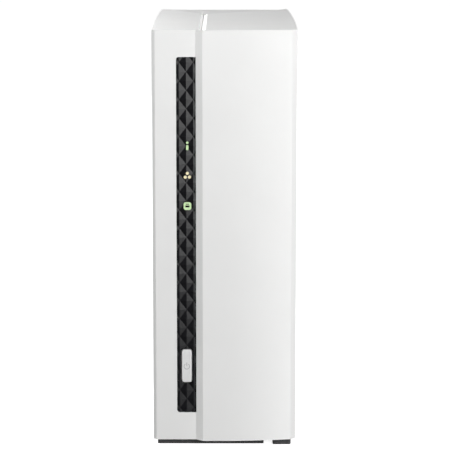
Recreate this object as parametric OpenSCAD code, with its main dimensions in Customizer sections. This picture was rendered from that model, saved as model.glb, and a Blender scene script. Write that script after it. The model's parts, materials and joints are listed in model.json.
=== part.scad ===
/* [Body] */
// Overall height, feet included
body_h = 188.6; // [188:0.1:192]
// Greatest width, at mid depth
body_w = 66; // [65.6:0.1:67]
// Depth from the ridge of the front to the back
body_d = 156.3; // [156:0.1:158]
// Thickness of the plastic walls
wall = 1.8; // [1.6:0.1:2]
// Height of the rubber feet
foot_h = 3; // [2.6:0.1:3.2]
// How much each side narrows from mid depth to the ends
side_bow = 0.9; // [0.6:0.1:1.1]
// Gap between parts of the casing
gap = 0.3; // [0.2:0.05:0.4]

/* [Front] */
// Sideways place of the ridge where the front of the cover ends
ridge_x = -9.7; // [-10:0.1:-9.5]
// How far the left panel lies behind the ridge
step_d = 2.8; // [2.5:0.1:3]
// How far the slanted face runs to the left of the ridge
step_w = 3.2; // [2.8:0.1:3.4]
// Radius of the convex front of the cover
crown_r = 163; // [155:1:175]
// Width of the patterned strip
strip_w = 8.8; // [8.6:0.1:9]
// Height of the patterned strip
strip_h = 161.1; // [158:0.1:162]
// Height of the lower end of the strip above the ground
strip_z = 15.6; // [15:0.1:17]
// Middle of the strip and of its button
strip_x = -17; // [-17.2:0.1:-16.9]

/* [Buttons] */
// Width of the power button
button_w = 4.9; // [4.6:0.1:5]
// Height of the power button
button_h = 15.6; // [14:0.1:16]
// How far the power button moves
button_travel = 0.6; // [0.3:0.1:0.6]
// How far the reset plunger moves
reset_travel = 0.4; // [0.3:0.1:0.5]

/* [Drive] */
// Length of the drive, which stands upright
drive_l = 147; // [146:0.1:147]
// Width of the drive, along the depth of the body
drive_w = 101.6; // [101.6:0.1:101.8]
// Thickness of the drive
drive_t = 26.1; // [25.4:0.1:26.1]
// How far the drive lifts off its socket
drive_lift = 8; // [7:0.5:8]

/* [Fan] */
// Side of the square fan frame
fan_size = 50; // [50:1:50]
// Depth of the fan frame
fan_depth = 10; // [10:1:12]
// Distance between the fan's screws
fan_pitch = 40; // [40:1:40]
// Number of fan blades
blade_count = 7; // [5:1:9]

/* [Hidden] */
$fn = 48;

white = "#f1f1ef";
rubber = "#3c3c3e";
black = "#161618";
switch_grey = "#55575a";
steel = "#b9bcc0";
board_green = "#1f5a3c";
led_green = "#8fd08a";
led_amber = "#e9c46a";

// Casing
rear_y = body_d / 2;
front_y = -body_d / 2;
rear_t = 2;
recess = 2;
back_y = rear_y - recess;
inner_y = back_y - rear_t;
panel_y = front_y + step_d;
corner_x = ridge_x - step_w;
crown_x = -1;
band_x = 30;
band_d = 4.7;
chamfer = 1.4;
crown_steps = 16;
side_steps = 12;
top_z = body_h;
bottom_z = foot_h;
roof_z = top_z - wall;
floor_z = bottom_z + wall;
seam_x = ridge_x - 0.4;
cover_edge_x = seam_x + gap / 2;
shell_edge_x = seam_x - gap / 2;
floor_seam_x = 20;
bay_w = 60;
overrun = 1;
ledge_w = 4;
foot_x = [-30.4, 17.9];
cover_foot_x = [21.9, 30.2];

// V-shaped facet at the rear of the top
apex_y = front_y + 114;
facet_right_y = rear_y - 3.6;
facet_left_x = -29.3;
facet_drop = 0.3;
facet_angle = atan(facet_drop / (rear_y - apex_y));

// Front strip and indicators
strip_back_y = panel_y + 2.9;
rim = 1;
strip_corner = 1.2;
icon_x = strip_x + 0.5;
status_z = 137.1;
network_z = 124.1;
drive_icon_z = 110.2;
pipe_flange = 1.2;
led_board_y = panel_y + 9.2;
led_board_t = 1.2;
led_t = 0.8;
button_z = 37.2;
button_corner = 0.9;
button_proud = 0.5;
button_gap = 0.15;
switch_h = 3.5;
switch_side = 6;
plunger_r = 1.7;

// Main board, which stands beside the left wall
board_x = -26.6;
board_t = 1.6;
board_face = board_x + board_t;
board_y = [-22, 73];
board_z = [14, 108];
cell_y = 24;
cell_z = 26;
cell_r = 10;
board_holes = [[-15, 20], [-15, 103], [54, 20], [54, 92]];
standoff_r = 3;
screw_r = 1.5;
head_r = 2.8;
head_h = 1.8;
screw_l = 9;
recess_w = 0.7;
recess_l = 3.2;
link_y = [board_y[0] + 1, board_y[0] + 6];
link_z = [68, 84];
link_t = 3;

// Drive and its bracket
drive_x = 2.5;
drive_y = -55;
drive_z = 24;
side_holes = [28.5, 130.1];
side_hole_x = drive_x + 6.35;
bracket_t = 1.2;
bracket_x = -0.9;
bracket_z = [18, 178];
shoulder_r = 2;
slot_r = shoulder_r + 0.35;
flange_gap = 0.3;
perforation_r = 2.2;
perforation_pitch = 10;
perforation_start = [-38, 52];
post_r = 4;
posts = [[-50, 32], [-50, 166], [42, 166], [42, 118]];

// Inside of the drive: chamber of the platters and bay of the actuator
spindle_y = drive_y + drive_w / 2;
spindle_z = drive_z + drive_l - 51;
chamber_r = 48.6;
chamber_x = drive_x + 5.5;
bay_x = drive_x + 6.5;
platter_r = 47.5;
platter_t = 1.27;
platter_x = [drive_x + 10.5, drive_x + 16.5];
spindle_r = 4;
pivot_y = drive_y + 77;
pivot_z = drive_z + 34;
pivot_r = 3;
arm_l = 50;
arm_rest = 17.9;
lid_t = 1;
magnet_y = [pivot_y - 18, pivot_y + 16];
magnet_z = drive_z + 9.5;

// Board under the drive that carries its socket
socket_board_z = 12;
plug_y = [-44, -3];
plug_x = [4.2, 10.2];

// Fan
fan_x = 0;
fan_z = 140;
fan_y = inner_y - fan_depth;
fan_bore_r = 24;
hub_r = 11;
tip_r = 23.2;
shaft_r = 1.5;
running_gap = 0.05;

// Rear ports: places across and up the back
lan_z = 70;
lan_w = 13.5;
lan_h = 16;
usb_upper_z = 50;
usb_lower_z = 33;
usb_w = 7;
usb_h = 14.4;
port_gap = 0.2;
port_y = back_y - port_gap;
jack_x = -18.5;
jack_z = 19;
jack_r = 4;
plug_hole_r = 3.1;
reset_x = -21;
reset_z = 86;
reset_r = 0.8;
lock_x = 20;
lock_z = 30;
cover_screw_x = 25;
cover_screw_z = [9.5, 183];

function side_x(y) = body_w / 2 - side_bow * pow(y / (body_d / 2), 2);
function crown_y(x) = front_y + crown_r - sqrt(pow(crown_r, 2) - pow(max(x - crown_x, 0), 2));
function along(a, b, i, n) = a + (b - a) * i / n;

function right_outline(inset) = concat(
    [[cover_edge_x, rear_y + overrun],
        [cover_edge_x, front_y + inset + (ridge_x - cover_edge_x) * step_d / step_w],
        [ridge_x, front_y + inset]],
    [for (i = [0:crown_steps]) let (x = along(crown_x, band_x - inset / 2, i, crown_steps))
        [x, crown_y(x) + inset]],
    [for (i = [0:side_steps]) let (y = along(front_y + band_d + inset / 2, rear_y + overrun, i, side_steps))
        [side_x(y) - inset, y]]);

function left_outline(inset) = concat(
    [[floor_seam_x, rear_y + overrun]],
    [for (i = [0:side_steps]) let (y = along(rear_y + overrun, panel_y + chamfer + inset / 2, i, side_steps))
        [-side_x(y) + inset, y]],
    [[-side_x(panel_y) + chamfer + inset / 2, panel_y + inset], [floor_seam_x, panel_y + inset]]);

module block(low, high) {
    translate(low) cube(high - low);
}

module rod_x(r, x0, x1, y, z) {
    translate([x0, y, z]) rotate([0, 90, 0]) cylinder(r = r, h = x1 - x0);
}

module rod_y(r, y0, y1, x, z) {
    translate([x, y0, z]) rotate([-90, 0, 0]) cylinder(r = r, h = y1 - y0);
}

module rod_z(r, z0, z1, x, y) {
    translate([x, y, z0]) cylinder(r = r, h = z1 - z0);
}

module extrude_y(y0, y1) {
    translate([0, y1, 0]) rotate([90, 0, 0]) linear_extrude(y1 - y0) children();
}

module extrude_x(x0, x1) {
    translate([x0, 0, 0]) rotate([90, 0, 90]) linear_extrude(x1 - x0) children();
}

// Round-cornered rectangle about its middle
module rounded(w, h, r) {
    square([w - 2 * r, h], center = true);
    square([w, h - 2 * r], center = true);
    for (sx = [-1, 1], sy = [-1, 1])
        translate([sx * (w / 2 - r), sy * (h / 2 - r)]) circle(r);
}

// Round-cornered block that lies along the depth
module rounded_y(x, z, w, h, r, y0, y1) {
    extrude_y(y0, y1) translate([x, z]) rounded(w, h, r);
}

// Pan-head screw along X whose head faces +X
module screw_x(y, z, head_x, length, r = screw_r) {
    rod_x(r, head_x - length, head_x, y, z);
    difference() {
        rod_x(head_r, head_x, head_x + head_h, y, z);
        cross_x(y, z, head_x + head_h);
    }
}

// Cross recess of a screw head
module cross_x(y, z, x) {
    for (a = [0, 90]) translate([x, y, z]) rotate([a, 0, 0])
        block([-head_h / 2, -recess_l / 2, -recess_w / 2], [overrun, recess_l / 2, recess_w / 2]);
}

// Pan-head screw along Y: the head faces +Y for facing 1 and -Y for facing -1
module screw_y(x, z, head_y, length, facing = 1, r = screw_r) {
    translate([x, head_y, z]) rotate([0, 0, facing * 90]) difference() {
        union() {
            rod_x(r, -length, 0, 0, 0);
            rod_x(head_r, 0, head_h, 0, 0);
        }
        cross_x(0, 0, head_h);
    }
}

// Pan-head screw along Z whose head faces up
module screw_z(x, y, head_z, length, r = screw_r) {
    translate([x, y, head_z]) rotate([0, -90, 0]) screw_x(0, 0, 0, length, r);
}

// Area of the facet on the top, grown by a margin along its two arms
module facet_area(margin) {
    polygon([[seam_x, apex_y - 2 * margin], [bay_w / 2 + margin, facet_right_y - margin],
        [bay_w / 2 + margin, rear_y + overrun], [facet_left_x - margin, rear_y + overrun],
        [facet_left_x - margin, rear_y - margin]]);
}

// Casing of the left side, with the floor and the left part of the front and top
module left_shell() {
    color(white) {
        difference() {
            union() {
                difference() {
                    linear_extrude(top_z) polygon(left_outline(0));
                    translate([0, 0, floor_z]) linear_extrude(roof_z - floor_z) polygon(left_outline(wall));
                    block([-body_w, panel_y - overrun, -overrun], [body_w, rear_y + 2, bottom_z]);
                    block([shell_edge_x, panel_y - overrun, floor_z], [body_w, rear_y + 2, top_z + overrun]);
                    block([shell_edge_x, panel_y - overrun, 0],
                        [body_w, panel_y + 3 * gap, floor_z + overrun]);
                    block([-body_w, rear_y, 0], [body_w, rear_y + 2, top_z + overrun]);
                    block([-bay_w / 2, inner_y, 0], [body_w, rear_y + overrun, top_z + overrun]);
                    translate([0, 0, roof_z - overrun]) linear_extrude(wall + 2) facet_area(gap);
                    seam_bevel(-1, 1);
                }
                ledges();
                shell_bosses();
            }
            strip_outline(0, panel_y - overrun, panel_y + 4);
            floor_vents();
            for (p = board_holes) rod_x(screw_r, -side_x(0) + 1, board_x + overrun, p[0], p[1]);
            for (p = posts) rod_x(screw_r, bracket_x - 10, bracket_x + overrun, p[0], p[1]);
            for (z = led_boss_z) rod_y(screw_r - 0.3, panel_y + 2, led_board_y + overrun, led_boss_x, z);
            for (p = socket_bosses) rod_z(screw_r, floor_z - 0.6, socket_board_z + overrun, p[0], p[1]);
            for (p = housing_points) rod_y(screw_r, inner_y - 8, inner_y + overrun, p[0], p[1]);
        }
    }
}

// Bevel along the seam of the top: side -1 is the left shell, side 1 the cover
module seam_bevel(side, width) {
    depth = width * 0.36;
    x0 = seam_x + side * gap / 2;
    extrude_y(front_y - overrun, rear_y + overrun)
        polygon([[x0 + side * width, top_z], [x0, top_z - depth], [x0 - side * overrun, top_z - depth],
            [x0 - side * overrun, top_z + overrun], [x0 + side * width, top_z + overrun]]);
}

// Ledges on which the cover slides, under the seam of the top and over that of the floor
module ledges() {
    roof_start = [seam_x - ledge_w, panel_y + wall, roof_z - wall];
    block(roof_start, [shell_edge_x, apex_y - ledge_w, roof_z]);
    block(roof_start, [seam_x + ledge_w, apex_y - ledge_w, roof_z - gap]);
    floor_y = [panel_y + 5, rear_y - 14];
    block([floor_seam_x - ledge_w, floor_y[0], floor_z], [floor_seam_x - gap, floor_y[1], floor_z + gap]);
    block([floor_seam_x - ledge_w, floor_y[0], floor_z + gap],
        [floor_seam_x + 0.6, floor_y[1], floor_z + gap + wall]);
}

led_boss_x = -25.6;
led_boss_z = [60, 150];
socket_bosses = [[-14, -38], [-14, 2], [6, 4]];
housing_points = [[-26, 9], [-26, 180]];

// Standoffs and bosses inside the left shell
module shell_bosses() {
    for (p = board_holes) rod_x(standoff_r, -side_x(p[0]) + wall / 2, board_x, p[0], p[1]);
    for (p = posts) rod_x(post_r, -side_x(p[0]) + wall / 2, bracket_x, p[0], p[1]);
    for (z = led_boss_z) rod_y(2.4, panel_y + wall / 2, led_board_y, led_boss_x, z);
    for (p = socket_bosses) rod_z(standoff_r, floor_z - wall / 2, socket_board_z, p[0], p[1]);
    for (p = housing_points)
        block([-side_x(rear_y) + wall / 2, inner_y - 10, p[1] - 4], [p[0] + 4, inner_y, p[1] + 4]);
}

// Outline of the strip grown by a margin: its left corners are round
module strip_outline(margin, y0, y1) {
    right_x = strip_x + strip_w / 2 + margin;
    rounded_y(strip_x, strip_z + strip_h / 2, strip_w + 2 * margin, strip_h + 2 * margin,
        strip_corner + margin, y0, y1);
    block([strip_x, y0, strip_z - margin], [right_x, y1, strip_z + strip_h + margin]);
}

module floor_vents() {
    length = 10;
    width = 2.5;
    pitch = 7;
    for (i = [2:8], x = [-20, -4, 10])
        block([x - length / 2, i * pitch - width / 2, bottom_z - overrun],
            [x + length / 2, i * pitch + width / 2, floor_z + 0.1]);
}

// Rear wall with its sloping top facet
module rear_housing() {
    color(white) difference() {
        union() {
            block([-bay_w / 2, inner_y, bottom_z + gap], [bay_w / 2, back_y, roof_z - facet_drop]);
            difference() {
                translate([0, 0, roof_z - facet_drop]) linear_extrude(wall + facet_drop) intersection() {
                    facet_area(0);
                    translate([-bay_w / 2, 0]) square([bay_w, rear_y]);
                }
                translate([0, apex_y, top_z - 0.1]) rotate([-facet_angle, 0, 0])
                    block([-body_w, -5, 0], [body_w, body_d, 5]);
            }
            for (z = cover_screw_z) rod_y(4, inner_y - 1, inner_y + overrun, cover_screw_x, z);
        }
        grille();
        for (z = cover_screw_z) rod_y(screw_r + 0.05, inner_y - 2, back_y + overrun, cover_screw_x, z);
        for (p = housing_points) rod_y(screw_r + 0.05, inner_y - 1, back_y + overrun, p[0], p[1]);
        for (p = fan_holes()) rod_y(screw_r + 0.05, inner_y - 1, back_y + overrun, p[0], p[1]);
        port_window(lan_w, lan_h / 2 + port_gap, lan_z);
        for (z = [usb_upper_z, usb_lower_z]) port_window(usb_w, usb_h / 2 + gap, z);
        rod_y(jack_r + gap, inner_y - 1, back_y + 1, jack_x, jack_z);
        rod_y(reset_r + gap, inner_y - 1, back_y + 1, reset_x, reset_z);
        rounded_y(lock_x, lock_z, 7, 3, 1.2, inner_y - 1, back_y + 1);
    }
}

// Window in the rear wall for a port that lies against the board
module port_window(width, half_height, z) {
    block([board_face - gap, inner_y - 1, z - half_height],
        [board_face + width + gap, back_y + 1, z + half_height]);
}

function fan_holes() = [for (sx = [-0.5, 0.5], sz = [-0.5, 0.5])
    [fan_x + sx * fan_pitch, fan_z + sz * fan_pitch]];

// Honeycomb of holes over the fan
module grille() {
    pitch = 5.4;
    rows = 4;
    for (j = [-rows:rows], i = [-rows - 1:rows + 1])
        let (x = (i + (abs(j) % 2) / 2) * pitch, z = j * pitch * sin(60))
            if (norm([x, z]) < fan_bore_r - 2.4)
                translate([fan_x + x, back_y + overrun, fan_z + z]) rotate([90, 30, 0])
                    cylinder(r = 2.6, h = rear_t + 2, $fn = 6);
}

// Strip with holes for the indicators and the power button
module front_strip() {
    color(black) difference() {
        union() {
            strip_outline(0, panel_y, strip_back_y);
            strip_outline(rim, panel_y + wall, strip_back_y);
        }
        rounded_y(strip_x, button_z, button_w + 2 * button_gap, button_h + 2 * button_gap,
            button_corner + button_gap, panel_y - 1, strip_back_y + 1);
        status_icon(panel_y - 1, strip_back_y + 1);
        network_icon(panel_y - 1, strip_back_y + 1);
        drive_icon(panel_y - 1, strip_back_y + 1);
    }
}

// Letter-like mark: a short stem under a dot
module status_icon(y0, y1) {
    block([icon_x - 0.55, y0, status_z - 2.1], [icon_x + 0.55, y1, status_z + 0.8]);
    block([icon_x - 0.55, y0, status_z + 1.2], [icon_x + 0.55, y1, status_z + 2.2]);
}

// Three dots in a triangle
module network_icon(y0, y1) {
    for (p = [[0, 0.9], [-0.95, -0.85], [0.95, -0.85]])
        rod_y(0.68, y0, y1, icon_x + p[0], network_z + p[1], $fn = 24);
}

// Rounded square
module drive_icon(y0, y1) {
    rounded_y(icon_x, drive_icon_z, 3.7, 3.7, 1, y0, y1);
}

// Flange behind the strip and the stalk that leads to the lamp
module light_pipe(z, h) {
    stalk = 1.6;
    rounded_y(icon_x, z, 5, h, 1, strip_back_y, strip_back_y + pipe_flange);
    block([icon_x - stalk, strip_back_y + pipe_flange, z - stalk],
        [icon_x + stalk, led_board_y - led_t - gap, z + stalk]);
}

module status_light_pipe() {
    color(led_green) {
        status_icon(panel_y, strip_back_y);
        light_pipe(status_z, 6);
    }
}

module network_light_pipe() {
    color(led_amber) {
        network_icon(panel_y, strip_back_y);
        light_pipe(network_z, 5.5);
    }
}

module drive_light_pipe() {
    color(led_green) {
        difference() {
            drive_icon(panel_y, strip_back_y);
            drive_mark(0.85, -0.75, 0.05);
            drive_mark(0.65, 0.5, 0.9);
        }
        light_pipe(drive_icon_z, 5.5);
    }
}

// Dark mark in the face of the square icon
module drive_mark(half_width, low, high) {
    block([icon_x - half_width, panel_y - 1, drive_icon_z + low],
        [icon_x + half_width, panel_y + 0.5, drive_icon_z + high]);
}

// Narrow board behind the strip
module indicator_board() {
    color(board_green) difference() {
        union() {
            block([-28.4, led_board_y, 24], [-12.6, led_board_y + led_board_t, 154]);
            block([-22, led_board_y + led_board_t, link_z[0]],
                [-14, led_board_y + led_board_t + link_t, link_z[1]]);
        }
        for (z = led_boss_z)
            rod_y(screw_r, led_board_y - 1, led_board_y + led_board_t + 1, led_boss_x, z);
    }
}

module indicator_leds() {
    color("#e8e8d8") for (z = [status_z, network_z, drive_icon_z])
        block([icon_x - 1, led_board_y - led_t, z - 0.6], [icon_x + 1, led_board_y, z + 0.6]);
}

module power_switch() {
    color(switch_grey) difference() {
        block([strip_x - switch_side / 2, led_board_y - switch_h, button_z - switch_side / 2],
            [strip_x + switch_side / 2, led_board_y, button_z + switch_side / 2]);
        rod_y(plunger_r + running_gap, led_board_y - switch_h - 1, led_board_y - 0.7, strip_x, button_z);
    }
}

module indicator_screws() {
    color(steel) for (z = led_boss_z)
        screw_y(led_boss_x, z, led_board_y + led_board_t, 6, 1, screw_r - 0.3);
}

// Flat cable from the indicator board to the main board, lying edge on
module ribbon_cable() {
    thick = 0.4;
    start_y = led_board_y + led_board_t + link_t;
    route = [[-18, start_y], [-18, start_y + 6], [-21, start_y + 12], [-21, board_y[0] - 4],
        [-22, link_y[0]]];
    color("#d8d8d4") translate([0, 0, link_z[0] + 2]) linear_extrude(link_z[1] - link_z[0] - 4)
        polygon(concat([for (p = route) [p[0] - thick / 2, p[1]]],
            [for (i = [len(route) - 1:-1:0]) [route[i][0] + thick / 2, route[i][1]]]));
}

module main_board() {
    color(board_green) difference() {
        union() {
            block([board_x, board_y[0], board_z[0]], [board_face, board_y[1], board_z[1]]);
            block([board_face, link_y[0], link_z[0]], [board_face + 5, link_y[1], link_z[1]]);
        }
        for (p = board_holes) rod_x(screw_r + 0.1, board_x - 1, board_face + 1, p[0], p[1]);
    }
}

module board_screws() {
    color(steel) for (p = board_holes) screw_x(p[0], p[1], board_face, 5.6);
}

module processor() {
    color(black) block([board_face, 11, 51], [board_face + 1.2, 28, 68]);
}

module heatsink() {
    base_x = board_face + 1.2;
    fins = 8;
    color("#3f4a57") difference() {
        block([base_x, 0, 40], [base_x + 11, 38, 80]);
        for (i = [0:fins - 2])
            block([base_x + 2.5, 2 + i * 5, 39], [base_x + 12, 5.4 + i * 5, 81]);
    }
}

module memory_chips() {
    color(black) for (y = [2, 22]) block([board_face, y, 86], [board_face + 1, y + 12, 96]);
}

module flash_chip() {
    color(black) block([board_face, -14, 48], [board_face + 1, -2.5, 61]);
}

module power_inductors() {
    color("#4a4a4c") for (z = [14, 25, 36]) block([board_face, 40, z], [board_face + 4, 47, z + 7]);
}

module capacitors() {
    color("#8c9096") for (p = [[46, 74], [46, 83], [46, 92], [38, 99]])
        rod_x(3.15, board_face, board_face + 7.7, p[0], p[1]);
}

module coin_cell_holder() {
    color(black) difference() {
        rod_x(cell_r + 1.5, board_face, board_face + 5, cell_y, cell_z);
        rod_x(cell_r + 0.05, board_face + 1, board_face + 6, cell_y, cell_z);
        block([board_face + 2.5, cell_y - 3, cell_z - 13], [board_face + 6, cell_y + 3, cell_z + 13]);
    }
}

module coin_cell() {
    color("#c4c7ca") rod_x(cell_r, board_face + 1, board_face + 4.2, cell_y, cell_z);
}

module beeper() {
    color(black) difference() {
        rod_x(4.5, board_face, board_face + 5, -12, 34);
        rod_x(0.9, board_face + 4, board_face + 6, -12, 34);
    }
}

// Network jack: a shielded box with its socket open to the rear
module network_jack() {
    mid_x = board_face + lan_w / 2;
    bottom_y = port_y - 14;
    color(steel) difference() {
        block([board_face, port_y - 21.4, lan_z - lan_h / 2],
            [board_face + lan_w, port_y, lan_z + lan_h / 2]);
        block([mid_x - 3.4, bottom_y, lan_z - 5.9], [mid_x + 3.6, port_y + 1, lan_z + 5.9]);
        block([mid_x + 3, bottom_y, lan_z - 3.1], [mid_x + 5.2, port_y + 1, lan_z + 3.1]);
    }
}

// Metal shell of a USB type A port that lies flat on the board
module usb_shell(z) {
    shell_y = port_y - 16.8;
    color(steel) difference() {
        block([board_face, shell_y, z - usb_h / 2], [board_face + usb_w, port_y, z + usb_h / 2]);
        block([board_face + 0.9, shell_y + 3, z - 6.25], [board_face + 6.1, port_y + 1, z + 6.25]);
    }
}

module usb_port_upper() {
    usb_shell(usb_upper_z);
}

module usb_port_lower() {
    usb_shell(usb_lower_z);
}

module usb_tongues() {
    color("#2f6fb0") for (z = [usb_upper_z, usb_lower_z])
        block([board_face + 0.9, back_y - 14, z - 5.6], [board_face + 2.8, back_y - 1.5, z + 5.6]);
}

// Barrel socket for the power plug
module power_jack() {
    half = 4.5;
    color(black) difference() {
        union() {
            block([board_face, port_y - 14, jack_z - half],
                [board_face + 11, inner_y - port_gap, jack_z + half]);
            rod_y(jack_r, inner_y - 2 * port_gap, port_y, jack_x, jack_z);
        }
        rod_y(plug_hole_r, port_y - 9.5, port_y + 1, jack_x, jack_z);
    }
}

module power_jack_pin() {
    color("#c9b36a") rod_y(1, back_y - 9.7, back_y - 1, jack_x, jack_z);
}

module reset_switch() {
    y1 = inner_y - 0.6;
    color(switch_grey) difference() {
        block([board_face, y1 - 6, reset_z - 3], [board_face + 6.5, y1, reset_z + 3]);
        rod_y(reset_r + running_gap, y1 - 3, y1 + 1, reset_x, reset_z);
    }
}

module fan_header() {
    color(white) difference() {
        block([board_face, 48, 98], [board_face + 6, 54, 106]);
        block([board_face + 1.5, 49, 99], [board_face + 7, 53, 105]);
    }
}

// Three-wire lead from the fan to its header, taken as one flat strand
module fan_cable() {
    thick = 1.3;
    width = 3.9;
    start = [board_face + 1.5, 50.35, 100.2];
    turn_x = board_face + 12;
    turn_y = fan_y + 2;
    color(black) {
        block(start, [turn_x, start[1] + thick, start[2] + width]);
        block([turn_x, start[1], start[2]], [turn_x + thick, turn_y, start[2] + width]);
        block([turn_x, turn_y, start[2]], [turn_x + thick, turn_y + width, fan_z - fan_size / 2]);
    }
}

module socket_board() {
    color(board_green) difference() {
        block([-24.4, -46, socket_board_z], [13, 10, socket_board_z + board_t]);
        for (p = socket_bosses)
            rod_z(screw_r + 0.1, socket_board_z - 1, socket_board_z + board_t + 1, p[0], p[1]);
    }
}

module socket_board_screws() {
    color(steel) for (p = socket_bosses) screw_z(p[0], p[1], socket_board_z + board_t, 6);
}

module board_link() {
    z0 = socket_board_z + board_t;
    color(black) block([board_face, -10, z0], [board_face + 8, 8, z0 + 7]);
}

// Upright receptacle that the plug of the drive slides onto
module drive_socket() {
    z0 = socket_board_z + board_t;
    color(black) difference() {
        union() {
            block([plug_x[0] - 1.5, plug_y[0] - 2, z0], [plug_x[1] + 1.5, plug_y[1] + 2, z0 + 6]);
            block([plug_x[0] + 1.1, plug_y[0] + 1.1, z0], [plug_x[1] - 1.1, plug_y[1] - 1.1, drive_z + 4.5]);
        }
        block([plug_x[0] + 2.2, plug_y[0] + 2.2, z0 + 4],
            [plug_x[1] - 2.2, plug_y[1] - 2.2, drive_z + 6]);
    }
}

module fan_frame() {
    rear = fan_y + fan_depth;
    strut = 1.6;
    color(black) difference() {
        union() {
            difference() {
                rounded_y(fan_x, fan_z, fan_size, fan_size, 3, fan_y, rear);
                rod_y(fan_bore_r, fan_y - 1, rear + 1, fan_x, fan_z);
            }
            rod_y(hub_r, rear - strut, rear, fan_x, fan_z);
            rod_y(3.4, fan_y + 3, rear, fan_x, fan_z);
            for (a = [45:90:315]) translate([fan_x, rear - strut, fan_z]) rotate([0, a, 0])
                block([hub_r - 1, 0, -1.2], [fan_bore_r + 1.5, strut, 1.2]);
        }
        rod_y(shaft_r + running_gap, fan_y + 2, rear - strut, fan_x, fan_z);
        for (p = fan_holes()) rod_y(screw_r, fan_y - 1, rear + 1, p[0], p[1]);
    }
}

module fan_screws() {
    color(steel) for (p = fan_holes()) screw_y(p[0], p[1], back_y, screw_l);
}

// Hub cap, shaft and pitched blades
module fan_rotor() {
    depth = fan_depth - 2.6;
    cap_t = 1.2;
    blade_pitch = 52;
    color("#2a2a2e") translate([fan_x, fan_y + 0.5, fan_z]) rotate([-90, 0, 0]) {
        difference() {
            cylinder(r = hub_r, h = depth - 0.2);
            translate([0, 0, cap_t]) cylinder(r = hub_r - 1.4, h = depth);
        }
        cylinder(r = shaft_r, h = depth);
        intersection() {
            for (i = [0:blade_count - 1]) rotate([0, 0, i * 360 / blade_count])
                translate([(hub_r + tip_r) / 2, 0, depth / 2]) rotate([blade_pitch, 0, 0])
                    cube([tip_r - hub_r + 3, 1, 14], center = true);
            difference() {
                cylinder(r = tip_r, h = depth - 0.2);
                translate([0, 0, -1]) cylinder(r = hub_r - 0.5, h = depth + 2);
            }
        }
    }
}

// Sheet-metal frame between the boards and the drive; its slots guide the drive's screws
module drive_bracket() {
    front_flange = drive_y - flange_gap - bracket_t;
    rear_flange = drive_y + drive_w + flange_gap;
    flange_x = side_hole_x + 6;
    face_x = bracket_x + bracket_t;
    color("#a9acb0") difference() {
        union() {
            block([bracket_x, front_flange, bracket_z[0]], [face_x, rear_flange + bracket_t, bracket_z[1]]);
            for (y = [front_flange, rear_flange])
                block([bracket_x, y, 40], [flange_x, y + bracket_t, bracket_z[1]]);
        }
        for (i = [0:6], j = [0:9]) let (p = perforation_start + perforation_pitch * [i, j])
            rod_x(perforation_r, bracket_x - 1, face_x + 1, p[0], p[1]);
        for (p = posts) rod_x(screw_r + 0.1, bracket_x - 1, face_x + 1, p[0], p[1]);
        for (y = [front_flange, rear_flange], h = side_holes)
            drive_slot(y - 1, y + bracket_t + 1, drive_z + h);
    }
}

// L-shaped slot: open toward the cover, then down to where the screw rests
module drive_slot(y0, y1, z) {
    rod_y(slot_r, y0, y1, side_hole_x, z);
    block([side_hole_x - slot_r, y0, z], [side_hole_x + slot_r, y1, z + drive_lift]);
    rod_y(slot_r, y0, y1, side_hole_x, z + drive_lift);
    block([side_hole_x, y0, z + drive_lift - slot_r], [side_hole_x + 12, y1, z + drive_lift + slot_r]);
}

module bracket_screws() {
    color(steel) for (p = posts) screw_x(p[0], p[1], bracket_x + bracket_t, 8);
}

// Screws through the rear housing into the cover
module cover_screws() {
    color(steel) for (z = cover_screw_z) screw_y(cover_screw_x, z, back_y, screw_l);
}

// Screws through the rear housing into the left shell
module housing_screws() {
    color(steel) for (p = housing_points) screw_y(p[0], p[1], back_y, screw_l);
}

module front_foot() {
    color(rubber) block([foot_x[0], front_y + 6.6, 0], [foot_x[1], front_y + 18.6, bottom_z]);
}

module rear_foot() {
    color(rubber) block([foot_x[0], rear_y - 18.6, 0], [foot_x[1], rear_y - 6.6, bottom_z]);
}

// Casing of the right side, with the convex front; it slides forward off the ledges
module right_cover() {
    boss_y = [inner_y - 9, inner_y - 1.3];
    boss_x = [cover_screw_x - 4, side_x(boss_y[0]) - wall / 2];
    color(white) difference() {
        union() {
            difference() {
                linear_extrude(top_z) polygon(right_outline(0));
                translate([0, 0, floor_z]) linear_extrude(roof_z - floor_z) polygon(right_outline(wall));
                block([-body_w, front_y - 1, -1], [body_w, rear_y + 2, bottom_z]);
                block([-body_w, rear_y, 0], [body_w, rear_y + 2, top_z + 1]);
                block([-body_w, front_y + wall, 0], [floor_seam_x, rear_y + 2, floor_z + 1]);
                block([-body_w, inner_y - gap, 0], [bay_w / 2 + gap, rear_y + 2, top_z + 1]);
                translate([0, 0, roof_z - 1]) linear_extrude(wall + 2) facet_area(gap);
                seam_bevel(1, 1.6);
            }
            lip();
            block([boss_x[0], boss_y[0], floor_z - wall / 2], [boss_x[1], boss_y[1], cover_screw_z[0] + 4]);
            block([boss_x[0], boss_y[0], cover_screw_z[1] - 2.8],
                [boss_x[1], boss_y[1], cover_screw_z[1] + 2.6]);
        }
        for (z = cover_screw_z) rod_y(screw_r + running_gap, boss_y[0] - 1, boss_y[1] + 1, cover_screw_x, z);
    }
}

// Slanted face from the ridge back to the left panel
module lip() {
    translate([0, 0, bottom_z]) linear_extrude(top_z - bottom_z) polygon([[ridge_x + 1, front_y],
        [ridge_x, front_y], [corner_x, panel_y - gap / 2], [ridge_x + 1, panel_y - gap / 2]]);
}

module cover_feet() {
    color(rubber) {
        block([cover_foot_x[0], front_y + 5.05, 0], [cover_foot_x[1], front_y + 17, bottom_z]);
        block([cover_foot_x[0], rear_y - 18.6, 0], [cover_foot_x[1], rear_y - 6.6, bottom_z]);
    }
}

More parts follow.
